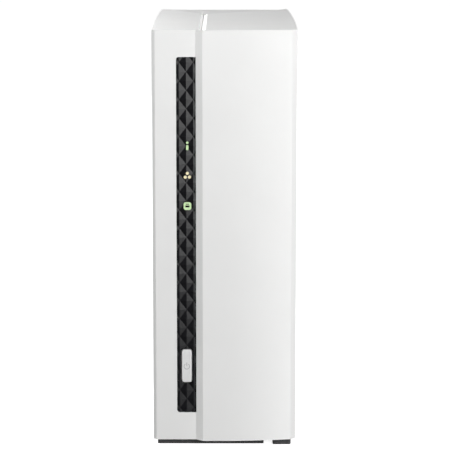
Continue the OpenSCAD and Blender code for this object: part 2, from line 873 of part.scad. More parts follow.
module power_button() {
    cap_back = strip_back_y + gap;
    plunger_y = led_board_y - switch_h - 1;
    color(white) {
        rounded_y(strip_x, button_z, button_w, button_h, button_corner,
            panel_y - button_proud, cap_back + 0.1);
        rounded_y(strip_x, button_z, button_w + 2, button_h + 2, button_corner, cap_back, cap_back + 1);
        rod_y(plunger_r, cap_back + 0.9, plunger_y, strip_x, button_z);
    }
}

module power_switch_plunger() {
    color(black) rod_y(plunger_r, led_board_y - switch_h - 1, led_board_y - 1.5, strip_x, button_z);
}

module reset_plunger() {
    y1 = inner_y - 0.6;
    color(black) rod_y(reset_r, y1 - 2.4, y1 + 1, reset_x, reset_z);
}

// Cast body of the drive, with a pocket for its board and threaded holes at the sides
module drive_casting() {
    top_x = drive_x + drive_t - lid_t;
    far_y = drive_y + drive_w;
    color("#9b9ea3") difference() {
        block([drive_x, drive_y, drive_z], [top_x, far_y, drive_z + drive_l]);
        block([drive_x - 1, drive_y + 6, drive_z - 1], [drive_x + 2.6, far_y - 6, drive_z + 62]);
        block([plug_x[0] - 0.3, plug_y[0] - 0.6, drive_z - 1],
            [plug_x[1] + 0.3, plug_y[1] + 0.6, drive_z + 7]);
        rod_x(24, drive_x - 1, drive_x + 1, drive_y + drive_w / 2, drive_z + 98);
        for (h = side_holes, y = [drive_y, far_y])
            rod_y(screw_r, y - 5, y + 5, side_hole_x, drive_z + h);
        for (p = lid_screw_points)
            rod_x(lid_screw_r, top_x - 5, top_x + 1, drive_y + p[0], drive_z + p[1]);
        difference() {
            union() {
                rod_x(chamber_r, chamber_x, top_x + 1, spindle_y, spindle_z);
                block([bay_x, drive_y + 8, drive_z + 9], [top_x + 1, drive_y + 94, drive_z + 74]);
            }
            rod_x(spindle_r, chamber_x - 1, chamber_x + 14, spindle_y, spindle_z);
            rod_x(pivot_r, bay_x - 1, bay_x + 13, pivot_y, pivot_z);
        }
    }
}

lid_screw_points = [[5, 6], [5, 74], [5, 141], [96.6, 6], [96.6, 74], [96.6, 141]];
lid_screw_r = 1;

// Discs clamped on their hub
module platter_stack() {
    color("#d5d8db") difference() {
        union() {
            rod_x(12.5, chamber_x + 0.5, chamber_x + 15.5, spindle_y, spindle_z);
            for (x = platter_x) rod_x(platter_r, x, x + platter_t, spindle_y, spindle_z, $fn = 96);
        }
        rod_x(spindle_r + running_gap, chamber_x, chamber_x + 14.5, spindle_y, spindle_z);
    }
}

// Arms that reach between the discs, with the coil behind their pivot
module actuator_arm() {
    above_discs = [platter_x[0] + 2.9 - bay_x, platter_x[1] + 2.5 - bay_x];
    color("#b4b7bb") translate([bay_x, pivot_y, pivot_z]) rotate([-arm_rest, 0, 0]) difference() {
        union() {
            rod_x(7, 0.5, 15, 0, 0);
            for (x = above_discs) extrude_x(x, x + 1)
                polygon([[-5, 0], [5, 0], [1.5, arm_l], [-1.5, arm_l]]);
            block([5, -8, -21], [8, 8, 0]);
        }
        rod_x(pivot_r + running_gap, 0, 13.6, 0, 0);
    }
}

// Plates either side of the coil, joined by two posts
module actuator_magnet() {
    post = 2.3;
    color("#7d8085") {
        for (x = [bay_x, bay_x + 12])
            block([x, magnet_y[0], magnet_z], [x + 2, magnet_y[1], magnet_z + 14.5]);
        for (y = [magnet_y[0], magnet_y[1] - post])
            block([bay_x + 2, y, magnet_z], [bay_x + 12, y + post, magnet_z + 4.5]);
    }
}

// Pressed lid that follows the outline of the casting
module drive_lid() {
    seat_x = drive_x + drive_t - lid_t;
    border = 0.8;
    color("#c9ccd0") difference() {
        extrude_x(seat_x, seat_x + lid_t) translate([drive_y + drive_w / 2, drive_z + drive_l / 2])
            rounded(drive_w - 2 * border, drive_l - 2 * border, 5);
        for (p = lid_screw_points)
            rod_x(lid_screw_r + 0.05, seat_x - 1, seat_x + 2, drive_y + p[0], drive_z + p[1]);
    }
}

module drive_lid_screws() {
    top_x = drive_x + drive_t;
    color("#6d7075") for (p = lid_screw_points) {
        rod_x(lid_screw_r, top_x - 5, top_x, drive_y + p[0], drive_z + p[1]);
        rod_x(2 * lid_screw_r, top_x, top_x + 0.8, drive_y + p[0], drive_z + p[1]);
    }
}

module drive_board() {
    color(board_green) {
        block([drive_x + 0.5, drive_y + 6.5, drive_z + 0.4],
            [drive_x + 1.6, drive_y + drive_w - 6.5, drive_z + 61]);
    }
}

// Plug of the drive: a shroud round a blade, open downward
module drive_plug() {
    color(black) {
        difference() {
            block([plug_x[0], plug_y[0] - 0.5, drive_z + 0.4], [plug_x[1], plug_y[1] + 0.5, drive_z + 6.8]);
            block([plug_x[0] + 0.8, plug_y[0] + 0.6, drive_z - 1],
                [plug_x[1] - 0.8, plug_y[1] - 0.6, drive_z + 5.2]);
        }
        block([plug_x[0] + 2.5, plug_y[0] + 2.6, drive_z - 0.4],
            [plug_x[1] - 2.5, plug_y[1] - 2.6, drive_z + 5.6]);
    }
}

// Shouldered screws that ride in the slots of the bracket
module drive_mounting_screws() {
    shoulder = bracket_t + 2 * flange_gap;
    for_side = [[drive_y, 180], [drive_y + drive_w, 0]];
    color(steel) for (h = side_holes, s = for_side)
        translate([side_hole_x, s[0], drive_z + h]) rotate([0, 0, s[1]]) {
            rod_y(screw_r, -4.5, 0, 0, 0);
            rod_y(shoulder_r, 0, shoulder, 0, 0);
            rod_y(3.2, shoulder, shoulder + 1.6, 0, 0);
        }
}

left_shell();
rear_housing();
front_strip();
status_light_pipe();
network_light_pipe();
drive_light_pipe();
indicator_board();
indicator_leds();
power_switch();
indicator_screws();
ribbon_cable();
main_board();
board_screws();
processor();
heatsink();
memory_chips();
flash_chip();
power_inductors();
capacitors();
coin_cell_holder();
coin_cell();
beeper();
network_jack();
usb_port_upper();
usb_port_lower();
usb_tongues();
power_jack();
power_jack_pin();
reset_switch();
fan_header();
fan_cable();
socket_board();
socket_board_screws();
board_link();
drive_socket();
fan_frame();
fan_screws();
drive_bracket();
bracket_screws();
cover_screws();
housing_screws();
front_foot();
rear_foot();
fan_rotor();
right_cover();
cover_feet();
power_button();
power_switch_plunger();
reset_plunger();
drive_casting();
drive_lid();
platter_stack();
actuator_arm();
actuator_magnet();
drive_board();
drive_plug();
drive_lid_screws();
drive_mounting_screws();
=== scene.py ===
import json
import math
import random

import bmesh
import bpy
from mathutils import Matrix, Vector


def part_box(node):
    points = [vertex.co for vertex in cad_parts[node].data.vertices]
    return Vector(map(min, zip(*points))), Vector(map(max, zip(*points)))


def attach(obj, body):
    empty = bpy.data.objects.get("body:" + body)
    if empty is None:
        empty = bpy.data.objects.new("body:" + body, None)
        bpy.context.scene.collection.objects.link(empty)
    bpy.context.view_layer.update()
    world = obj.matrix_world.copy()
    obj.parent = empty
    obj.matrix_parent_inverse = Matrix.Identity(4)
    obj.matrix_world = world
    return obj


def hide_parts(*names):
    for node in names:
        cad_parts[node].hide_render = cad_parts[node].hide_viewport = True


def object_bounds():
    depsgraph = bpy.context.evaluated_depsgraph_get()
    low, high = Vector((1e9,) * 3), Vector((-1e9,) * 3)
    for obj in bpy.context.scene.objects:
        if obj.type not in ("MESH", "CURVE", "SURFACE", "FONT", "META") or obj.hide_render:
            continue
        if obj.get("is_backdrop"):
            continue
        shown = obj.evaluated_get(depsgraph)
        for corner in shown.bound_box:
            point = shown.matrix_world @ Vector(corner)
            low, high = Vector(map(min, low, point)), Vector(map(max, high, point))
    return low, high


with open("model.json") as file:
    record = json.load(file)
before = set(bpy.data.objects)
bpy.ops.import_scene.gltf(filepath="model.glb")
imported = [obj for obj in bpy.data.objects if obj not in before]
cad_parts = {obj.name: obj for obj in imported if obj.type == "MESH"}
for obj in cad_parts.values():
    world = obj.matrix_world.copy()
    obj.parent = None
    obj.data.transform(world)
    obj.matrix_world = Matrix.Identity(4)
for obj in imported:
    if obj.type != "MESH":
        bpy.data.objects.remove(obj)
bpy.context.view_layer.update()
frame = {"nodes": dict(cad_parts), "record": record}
nodes = frame["nodes"]
random.seed(7)

MM = 0.001
AXES = {"x": 0, "y": 1, "z": 2}
scene = bpy.context.scene


# ---- measures
def box_mm(node):
    """Lowest and highest corner of a CAD node in millimetres."""
    low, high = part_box(node)
    return Vector(low) / MM, Vector(high) / MM


def centre_of(node):
    low, high = box_mm(node)
    return (low + high) / 2


def welded(node):
    """Mesh of a CAD node with the corners of its triangles joined."""
    bm = bmesh.new()
    bm.from_mesh(nodes[node].data)
    bmesh.ops.remove_doubles(bm, verts=bm.verts, dist=1e-6)
    return bm


def mesh_of(bm, name="part"):
    """New mesh of a bmesh, which is freed."""
    me = bpy.data.meshes.new(name)
    bm.to_mesh(me)
    bm.free()
    return me


def put(name, data):
    """New object in the scene."""
    o = bpy.data.objects.new(name, data)
    scene.collection.objects.link(o)
    return o


def islands(node):
    """Boxes, in millimetres, of the separate solids of a CAD node."""
    bm = welded(node)
    left, found = set(bm.verts), []
    while left:
        stack, seen = [left.pop()], []
        while stack:
            v = stack.pop()
            seen.append(v.co / MM)
            for e in v.link_edges:
                w = e.other_vert(v)
                if w in left:
                    left.remove(w)
                    stack.append(w)
        found.append(tuple(Vector([pick(c[i] for c in seen) for i in range(3)]) for pick in (min, max)))
    bm.free()
    return sorted(found, key=lambda b: tuple(round(x, 1) for x in b[0]))


# ---- materials
def feed(tree, socket, value):
    """Links another node's output to a socket, or sets the socket's own value."""
    if isinstance(value, bpy.types.NodeSocket):
        tree.links.new(value, socket)
    else:
        socket.default_value = (*value, 1) if socket.type == "RGBA" else value


def add_node(tree, kind, inputs, **settings):
    n = tree.nodes.new(kind)
    for key, value in settings.items():
        setattr(n, key, value)
    for key, value in inputs.items():
        feed(tree, n.inputs[key], value)
    return n


def material(name, color, rough, mottle, grain, metal=0.0, spread=0.05, stretch=(1, 1, 1), extra=None,
             **sockets):
    """Principled material: colour and roughness vary over the surface, with a fine bump.
    mottle is (cycles per mm, share of colour), grain is (cycles per mm, depth in mm).
    extra may give another colour and another height, as copper_tracks does."""
    m = bpy.data.materials.new(name)
    m.use_nodes = True
    tree = m.node_tree
    shader = tree.nodes["Principled BSDF"]
    place = add_node(tree, "ShaderNodeTexCoord", {}).outputs["Object"]
    per_mm = [s / MM for s in stretch]
    vector = add_node(tree, "ShaderNodeMapping", {"Vector": place, "Scale": per_mm}).outputs["Vector"]

    def noise(scale, detail):
        inputs = {"Vector": vector, "Scale": scale, "Detail": detail}
        return add_node(tree, "ShaderNodeTexNoise", inputs).outputs["Fac"]

    def spread_to(source, low, high, a=0.3, b=0.7):
        inputs = {"Value": source, "From Min": a, "From Max": b, "To Min": low, "To Max": high}
        return add_node(tree, "ShaderNodeMapRange", inputs).outputs["Result"]

    def mix(factor, one, two):
        n = add_node(tree, "ShaderNodeMix", {"Factor": factor}, data_type="RGBA")
        for socket, value in zip([s for s in n.inputs if s.type == "RGBA"], (one, two)):
            feed(tree, socket, value)
        return next(s for s in n.outputs if s.type == "RGBA")

    dark, light = [[min(1.0, c * share) for c in color] for share in (1 - mottle[1], 1 + mottle[1])]
    base = mix(spread_to(noise(mottle[0], 4.0), 0.0, 1.0), dark, light)
    height = noise(grain[0], 3.0)
    if extra:
        base, height = extra(tree, vector, mix, spread_to, height)
    roughness = spread_to(noise(mottle[0] * 2.7, 3.0), rough - spread, rough + spread)
    bump = add_node(tree, "ShaderNodeBump", {"Strength": 1.0, "Distance": grain[1] * MM, "Height": height})
    values = {"Base_Color": base, "Roughness": roughness, "Metallic": metal, "Normal": bump.outputs["Normal"]}
    for key, value in {**values, **sockets}.items():
        feed(tree, shader.inputs[key.replace("_", " ")], value)
    return m


def math_node(tree, operation, *values):
    return add_node(tree, "ShaderNodeMath", dict(enumerate(values)), operation=operation).outputs[0]


def zigzag(tree, value):
    """Wave that falls from a half to nothing and rises again with each whole step of a value."""
    return math_node(tree, "ABSOLUTE", math_node(tree, "SUBTRACT", math_node(tree, "FRACT", value), 0.5))


def cells(tree, vector, scale, distance="EUCLIDEAN"):
    inputs = {"Vector": vector, "Scale": scale}
    return add_node(tree, "ShaderNodeTexVoronoi", inputs, distance=distance).outputs


def copper_tracks(tree, vector, mix, spread_to, fine):
    """Solder mask over tracks, copper areas and vias."""
    rings = math_node(tree, "MULTIPLY", cells(tree, vector, 0.33, "MANHATTAN")["Distance"], 4.0)
    track = spread_to(zigzag(tree, rings), 1.0, 0.0, 0.16, 0.24)
    via = spread_to(cells(tree, vector, 0.22)["Distance"], 1.0, 0.0, 0.07, 0.09)
    lighter = mix(track, (0.010, 0.075, 0.035), (0.022, 0.15, 0.07))
    pads = mix(via, lighter, (0.62, 0.60, 0.55))
    return pads, math_node(tree, "ADD", math_node(tree, "MULTIPLY", track, 3.0), fine)


def stripes(tree, vector, mix, spread_to, fine):
    """Flat conductors side by side, as in a ribbon cable."""
    split = add_node(tree, "ShaderNodeSeparateXYZ", {0: vector})
    line = spread_to(zigzag(tree, split.outputs["Z"]), 0.0, 1.0, 0.2, 0.3)
    height = math_node(tree, "ADD", math_node(tree, "MULTIPLY", line, 4.0), fine)
    return mix(line, (0.62, 0.62, 0.60), (0.80, 0.80, 0.78)), height


def crystals(tree, vector, mix, spread_to, fine):
    """Zinc crystals of galvanised sheet."""
    split = add_node(tree, "ShaderNodeSeparateColor", {0: cells(tree, vector, 0.16)["Color"]})
    return mix(split.outputs[0], (0.46, 0.47, 0.485), (0.64, 0.65, 0.66)), fine


M = {
    "casing": material("casing_white", (0.86, 0.862, 0.855), 0.42, (0.05, 0.008), (4.5, 0.006), spread=0.04,
                       Specular_IOR_Level=0.42),
    # A lighter, glossier white: its lighter colour is a painted highlight on the left shell's seam bevel
    "edge": material("painted_highlight_white", (0.93, 0.93, 0.925), 0.16, (0.2, 0.008), (4.5, 0.001), spread=0.02),
    # A darker copy of the casing white: painted shade on the rear housing's sloping top facet, which tilts
    # away from the lights
    "facet": material("painted_shade_facet", (0.79, 0.792, 0.786), 0.46, (0.05, 0.008), (4.5, 0.006), spread=0.04,
                      Specular_IOR_Level=0.42),
    "button": material("button_white", (0.80, 0.80, 0.795), 0.32, (0.2, 0.012), (5.0, 0.003)),
    "button_print": material("print_grey", (0.50, 0.50, 0.50), 0.45, (2.0, 0.04), (9.0, 0.002)),
    "strip": material("strip_black", (0.010, 0.010, 0.0115), 0.20, (0.4, 0.15), (6.0, 0.0012), spread=0.03,
                      Specular_IOR_Level=0.085),
    "green_light": material("light_green", (0.56, 0.72, 0.42), 0.30, (1.2, 0.08), (6.0, 0.002),
                            Emission_Color=(0.62, 0.95, 0.45), Emission_Strength=0.16),
    "amber_light": material("light_amber", (0.78, 0.70, 0.46), 0.30, (1.2, 0.08), (6.0, 0.002),
                            Emission_Color=(1.0, 0.88, 0.55), Emission_Strength=0.18),
    "led": material("led_lens", (0.85, 0.83, 0.62), 0.25, (1.0, 0.08), (8.0, 0.002)),
    "board": material("solder_mask", (0.012, 0.09, 0.042), 0.38, (0.3, 0.1), (4.0, 0.010),
                      extra=copper_tracks),
    "black_plastic": material("black_plastic", (0.018, 0.018, 0.020), 0.48, (0.3, 0.18), (6.0, 0.008)),
    "ivory": material("ivory_plastic", (0.72, 0.69, 0.60), 0.45, (0.4, 0.03), (5.0, 0.004)),
    "screw": material("nickel_steel", (0.60, 0.595, 0.58), 0.30, (1.5, 0.10), (9.0, 0.004), metal=1.0,
                      spread=0.09),
    "screw_dark": material("blackened_steel", (0.20, 0.20, 0.205), 0.34, (1.5, 0.16), (9.0, 0.004), metal=1.0,
                           spread=0.08),
    "chip": material("chip_epoxy", (0.020, 0.020, 0.022), 0.55, (0.8, 0.20), (10.0, 0.010)),
    "heatsink": material("anodised_aluminium", (0.045, 0.052, 0.062), 0.42, (0.4, 0.10), (2.0, 0.006),
                         metal=0.85, stretch=(1, 1, 0.08)),
    "port_shell": material("tinned_steel", (0.66, 0.66, 0.655), 0.30, (0.3, 0.03), (3.0, 0.0012), metal=1.0,
                           spread=0.03),
    "capacitor": material("capacitor_can", (0.62, 0.63, 0.65), 0.30, (0.7, 0.05), (4.0, 0.003), metal=1.0),
    "sleeve": material("capacitor_print", (0.02, 0.02, 0.03), 0.4, (0.8, 0.1), (6.0, 0.002)),
    "usb_tongue": material("blue_plastic", (0.02, 0.12, 0.52), 0.42, (0.6, 0.08), (6.0, 0.004)),
    "gold_pin": material("gold_plating", (0.80, 0.60, 0.26), 0.24, (1.2, 0.08), (7.0, 0.002), metal=1.0),
    "ceramic": material("ceramic", (0.36, 0.25, 0.15), 0.5, (3.0, 0.15), (8.0, 0.005)),
    "solder": material("solder", (0.70, 0.70, 0.69), 0.28, (2.5, 0.10), (6.0, 0.006), metal=1.0),
    "cable": material("wire_black", (0.015, 0.015, 0.017), 0.42, (0.5, 0.2), (5.0, 0.006)),
    "wire_red": material("wire_red", (0.42, 0.012, 0.010), 0.42, (0.5, 0.12), (5.0, 0.006)),
    "wire_yellow": material("wire_yellow", (0.62, 0.44, 0.03), 0.42, (0.5, 0.10), (5.0, 0.006)),
    "ribbon": material("ribbon_film", (0.75, 0.75, 0.73), 0.38, (0.15, 0.05), (3.0, 0.010), extra=stripes),
    "bracket": material("galvanised_steel", (0.55, 0.56, 0.57), 0.36, (0.2, 0.08), (3.0, 0.004), metal=0.9,
                        spread=0.10, extra=crystals),
    "foot": material("rubber", (0.056, 0.056, 0.058), 0.80, (0.6, 0.18), (3.5, 0.030)),
    "casting": material("cast_aluminium", (0.50, 0.505, 0.515), 0.48, (0.25, 0.05), (4.0, 0.008), metal=0.9,
                        spread=0.03),
    "drive_lid": material("pressed_steel", (0.62, 0.625, 0.635), 0.36, (0.05, 0.015), (5.0, 0.0012),
                          metal=1.0, spread=0.02, stretch=(1, 0.04, 1)),
    "label": material("label_paper", (0.78, 0.78, 0.76), 0.55, (0.3, 0.02), (4.0, 0.004)),
    "label_ink": material("label_ink", (0.055, 0.06, 0.07), 0.5, (1.0, 0.12), (6.0, 0.002)),
    "label_band": material("label_band", (0.10, 0.22, 0.34), 0.5, (0.5, 0.06), (6.0, 0.002)),
    "platter": material("polished_disc", (0.84, 0.845, 0.85), 0.07, (0.05, 0.02), (1.0, 0.0004), metal=1.0,
                        spread=0.02),
    "fan_sticker": material("fan_sticker", (0.55, 0.56, 0.58), 0.35, (0.4, 0.04), (5.0, 0.003), metal=0.3),
}


# ---- geometry
class Shape:
    """Collects closed solids, in millimetres, then becomes one object."""

    def __init__(self, *materials):
        self.bm = bmesh.new()
        self.materials = materials
        self.slot = 0

    def take(self, faces):
        for f in faces:
            f.material_index = self.slot

    def solid(self, rings, bevel=0.0, segments=2, bevel_if=None):
        """Closed solid through rings of points; a ring of one point is a tip.
        bevel rounds its corners, or only the edges that bevel_if(a, b) holds for."""
        made, faces = [[self.bm.verts.new(p) for p in ring] for ring in rings], []
        for a, b in zip(made, made[1:]):
            n = max(len(a), len(b))
            for i in range(n):
                j = (i + 1) % n
                corners = [a[i % len(a)], a[j % len(a)], b[j % len(b)], b[i % len(b)]]
                unique = [v for k, v in enumerate(corners) if v not in corners[:k]]
                if len(unique) > 2:
                    faces.append(self.bm.faces.new(unique))
        for ring in (made[0], made[-1]):
            if len(ring) > 2:
                faces.append(self.bm.faces.new(ring))
        self.take(faces)
        bmesh.ops.recalc_face_normals(self.bm, faces=faces)
        if bevel:
            edges = {e for f in faces for e in f.edges if e.calc_face_angle(0) > 0.6}
            if bevel_if:
                edges = {e for e in edges if bevel_if(*[v.co for v in e.verts])}
            done = bmesh.ops.bevel(self.bm, geom=list(edges), offset=bevel, segments=segments, profile=0.5,
                                   affect="EDGES", clamp_overlap=True)
            self.take(done["faces"])

    def box(self, low, high, **edges):
        (x0, y0, z0), (x1, y1, z1) = low, high
        self.solid([[(x0, y0, z), (x1, y0, z), (x1, y1, z), (x0, y1, z)] for z in (z0, z1)], **edges)

    def prism(self, outline, axis, a0, a1, **edges):
        """Outline of (u, v) points, in the order of the two other axes, run along an axis."""
        i = AXES[axis]
        self.solid([[tuple(p[:i]) + (a,) + tuple(p[i:]) for p in outline] for a in (a0, a1)], **edges)

    def lathe(self, profile, axis, centre, steps=32):
        """Turns a profile of (radius, place) round an axis; centre gives the two other coordinates."""
        i = AXES[axis]
        rings = []
        for r, a in profile:
            count = 1 if r == 0 else steps
            ring = []
            for k in range(count):
                t = 2 * math.pi * k / steps
                p = [centre[0] + r * math.cos(t), centre[1] + r * math.sin(t)]
                ring.append(tuple(p[:i]) + (a,) + tuple(p[i:]))
            rings.append(ring)
        self.solid(rings)

    def tube(self, points, radius, sides=10):
        """Round tube along points, with flat ends."""
        points = [Vector(p) for p in points]
        rings, across = [], None
        for i, p in enumerate(points):
            way = (points[min(i + 1, len(points) - 1)] - points[max(i - 1, 0)]).normalized()
            if across is None:
                across = way.orthogonal().normalized()
            across = (across - way * across.dot(way)).normalized()
            up = way.cross(across)
            rings.append([tuple(p + radius * (math.cos(t) * across + math.sin(t) * up))
                          for t in (2 * math.pi * k / sides for k in range(sides))])
        self.solid(rings)

    def strap(self, sections):
        """Solid through upright rectangles, each (x0, x1, z0, z1, y)."""
        self.solid([[(x0, y, z0), (x1, y, z0), (x1, y, z1), (x0, y, z1)] for x0, x1, z0, z1, y in sections])

    def add(self, mesh, matrix=Matrix.Identity(4)):
        """Takes over a mesh that is in millimetres."""
        part = bmesh.new()
        part.from_mesh(mesh)
        part.transform(matrix)
        copy = mesh_of(part)
        first = len(self.bm.faces)
        self.bm.from_mesh(copy)
        for old in (copy, mesh):
            bpy.data.meshes.remove(old)
        self.bm.faces.ensure_lookup_table()
        self.take(self.bm.faces[first:])

    def mesh(self, name="part"):
        return mesh_of(self.bm, name)

    def done(self, name, body, slot=None, replaces=(), crease=32, weighted=True):
        self.bm.transform(Matrix.Scale(MM, 4))
        return piece(self.mesh(name), name, body, self.materials, replaces, crease, weighted)


def weigh_normals(o):
    o.modifiers.new("Normals", "WEIGHTED_NORMAL").keep_sharp = True


def round_edges(o, method, width, segments, harden):
    b = o.modifiers.new("Edges", "BEVEL")
    b.limit_method = method
    b.width = width * MM
    b.segments = segments
    b.use_clamp_overlap = True
    b.harden_normals = harden
    return b


def piece(me, name, body, materials, replaces=(), crease=32, weighted=True):
    """Object of a mesh in metres that rides on a body."""
    for m in materials:
        me.materials.append(M[m])
    me.shade_smooth()
    me.set_sharp_from_angle(angle=math.radians(crease))
    o = put(name, me)
    if weighted:
        weigh_normals(o)
    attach(o, body)
    if replaces:
        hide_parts(*replaces)
    return o


def boolean(mesh, cutter, operation="DIFFERENCE"):
    """New mesh of one mesh cut by, joined to or kept within another."""
    objects = [put("solid", mesh), put("cutter", cutter)]
    m = objects[0].modifiers.new("Boolean", "BOOLEAN")
    m.operation = operation
    m.solver = "EXACT"
    m.object = objects[1]
    bpy.context.view_layer.update()
    result = bpy.data.meshes.new_from_object(objects[0].evaluated_get(bpy.context.evaluated_depsgraph_get()))
    for o in objects:
        bpy.data.objects.remove(o)
    for old in (mesh, cutter):
        bpy.data.meshes.remove(old)
    return result


def arc(cx, cy, r, a0, a1, steps):
    """Points of an arc, angles in degrees."""
    return [(cx + r * math.cos(math.radians(a0 + (a1 - a0) * i / steps)),
             cy + r * math.sin(math.radians(a0 + (a1 - a0) * i / steps))) for i in range(steps + 1)]


def rounded(cx, cy, w, h, r, steps=6):
    """Outline of a round-cornered rectangle."""
    x, y = w / 2 - r, h / 2 - r
    return (arc(cx + x, cy + y, r, 0, 90, steps) + arc(cx - x, cy + y, r, 90, 180, steps)
            + arc(cx - x, cy - y, r, 180, 270, steps) + arc(cx + x, cy - y, r, 270, 360, steps))


def refined(node, name, body, materials, radius, widest, segments=3, shift=None, finish=None, split=False):
    """Copy of a CAD node whose edges get the radius that radius(a, b, angle) gives for the edge's two ends.
    shift(point) may move a corner, all in mm. finish(normal) may choose another of the materials for a face.
    split cuts the faces of many corners into triangles first, where the bevel would fold them."""
    bm = welded(node)
    if shift:
        for v in bm.verts:
            v.co += shift(v.co / MM) * MM
    bmesh.ops.dissolve_limit(bm, angle_limit=0.002, verts=bm.verts, edges=bm.edges)
    if split:
        bmesh.ops.triangulate(bm, faces=[f for f in bm.faces if len(f.verts) > 4])
    layer = bm.edges.layers.float.new("bevel_weight_edge")
    for e in bm.edges:
        angle = math.degrees(e.calc_face_angle(0))
        if angle > 12:
            a, b = [v.co / MM for v in e.verts]
            e[layer] = min(1.0, radius(a, b, angle) / widest)
    for f in bm.faces:
        f.material_index = finish(f.normal) if finish else 0
    o = piece(mesh_of(bm, name), name, body, materials, (node,), 25, weighted=False)
    round_edges(o, "WEIGHT", widest, segments, False).miter_outer = "MITER_ARC"
    weigh_normals(o)


def soften(node, mat):
    """Material and slightly rounded edges for a CAD node that stays."""
    o = nodes[node]
    o.data.materials.clear()
    o.data.materials.append(M[mat])
    weld = o.modifiers.new("Weld", "WELD")
    weld.merge_threshold = 1e-6
    flat = o.modifiers.new("Flat", "DECIMATE")
    flat.decimate_type = "DISSOLVE"
    flat.angle_limit = math.radians(0.3)
    round_edges(o, "ANGLE", 0.15, 2, True).angle_limit = math.radians(40)


# ---- casing
cover_low, cover_high = box_mm("right_cover")
strip_low, strip_high = box_mm("front_strip")
panel_y = box_mm("left_shell")[0].y
wall_y = box_mm("rear_housing")[0].y
fan_x, _, fan_z = centre_of("fan_frame")
grille_r = 24.8
long_edge = 150
strip_z = (strip_low.z + strip_high.z) / 2
strip_half_h = (strip_high.z - strip_low.z) / 2


def near(value, target, within=0.06):
    return abs(value - target) < within


def both_at(axis, value):
    """Test for the edges that lie at one place along an axis."""
    i = AXES[axis]
    return lambda a, b: near(a[i], value) and near(b[i], value)


def outer_edge(a, b, side):
    """Radius of an outer edge: side is 1 for the cover and -1 for the left shell."""
    mid = (a + b) / 2
    high = near(a.z, cover_high.z) and near(b.z, cover_high.z)
    low = near(a.z, cover_low.z) and near(b.z, cover_low.z)
    upright = abs(a.z - b.z) > long_edge
    in_front = mid.y < panel_y + 0.1
    across = mid.x * side
    rules = ((high and across > 30.5, 1.15), (low and across > 30.5, 0.9),
             (upright and across > 29.0, 1.3 if side > 0 else 0.35), (upright, 0.22),
             (high and in_front, 0.30), (low and in_front, 0.45), (high, 0.18), (low, 0.3),
             (mid.y > cover_high.y - 0.1, 0.3), (True, 0.0))
    return next(radius for holds, radius in rules if holds)


def cover_edge(a, b, angle):
    return outer_edge(a, b, 1)


def left_edge(a, b, angle):
    """Radius on the left shell, whose opening for the strip has round edges except along the cover."""
    mid = (a + b) / 2
    beside_strip = strip_low.x - 1 < mid.x < -12 and abs(mid.z - strip_z) < strip_half_h + 1
    at_opening = near(mid.y, panel_y) and beside_strip
    along_cover = abs(a.z - b.z) > long_edge and mid.x > -20
    return 0.22 if at_opening and not along_cover else outer_edge(a, b, -1)


def rear_edge(a, b, angle):
    """Radius on the outer side of the rear wall, but not in its grille."""
    mid = (a + b) / 2
    in_grille = math.hypot(mid.x - fan_x, mid.z - fan_z) < grille_r
    return 0.16 if angle > 50 and mid.y > wall_y + 1.5 and not in_grille else 0.0


def open_seam(p):
    """Widens the shadow line between the cover's step and the front panel a little."""
    return Vector((0.18 if p.x < cover_low.x + 0.4 and p.y < panel_y + 4 else 0.0, 0, 0))


refined("right_cover", "cover_shell", "cover", ["casing"], cover_edge, 1.3, shift=open_seam, split=True)
# The left shell's seam bevel faces take the lighter white: a painted highlight
refined("left_shell", "left_casing", "chassis", ["casing", "edge"], left_edge, 1.3,
        finish=lambda normal: 1 if 0.3 < normal.x < 0.4 and normal.z > 0.9 else 0)
# The rear wall's sloping top faces take the darker copy of the casing white: painted shade
refined("rear_housing", "rear_wall", "chassis", ["casing", "facet"], rear_edge, 0.16, segments=2,
        finish=lambda normal: 1 if 0.5 < normal.z < 0.99999 else 0)


# ---- front strip
rim = 1.0
sx0, sx1 = strip_low.x + rim, strip_high.x - rim
sz0, sz1 = strip_low.z + rim, strip_high.z - rim
sy0, sy1 = strip_low.y, strip_high.y
strip_x = (sx0 + sx1) / 2
corner_r = 1.2
button_low, button_high = box_mm("power_button")
button_x, _, button_z = centre_of("power_button")
button_w, _, button_h = button_high - button_low - Vector((2.5, 0, 2.7))
button_r = 0.9
button_gap = 0.4
light_x, _, drive_mark_z = centre_of("drive_light_pipe")
network_mark_z = centre_of("network_light_pipe").z
status_mark_z = centre_of("status_light_pipe").z


def strip_marks(grow):
    """Outlines of the lit marks of each light, grown by a clearance."""
    def mark(dx, z, w, h, r):
        return rounded(light_x + dx, z, w + 2 * grow, h + 2 * grow, r + grow)

    return {
        "status": [mark(0, status_mark_z - 0.62, 1.04, 2.2, 0.45),
                   mark(0, status_mark_z + 1.55, 1.08, 1.08, 0.539)],
        "network": [mark(dx, network_mark_z + dz, 1.36, 1.36, 0.679)
                    for dx, dz in ((0, 0.9), (-0.95, -0.85), (0.95, -0.85))],
        "drive": [mark(0, drive_mark_z, 3.4, 3.4, 0.95)],
    }


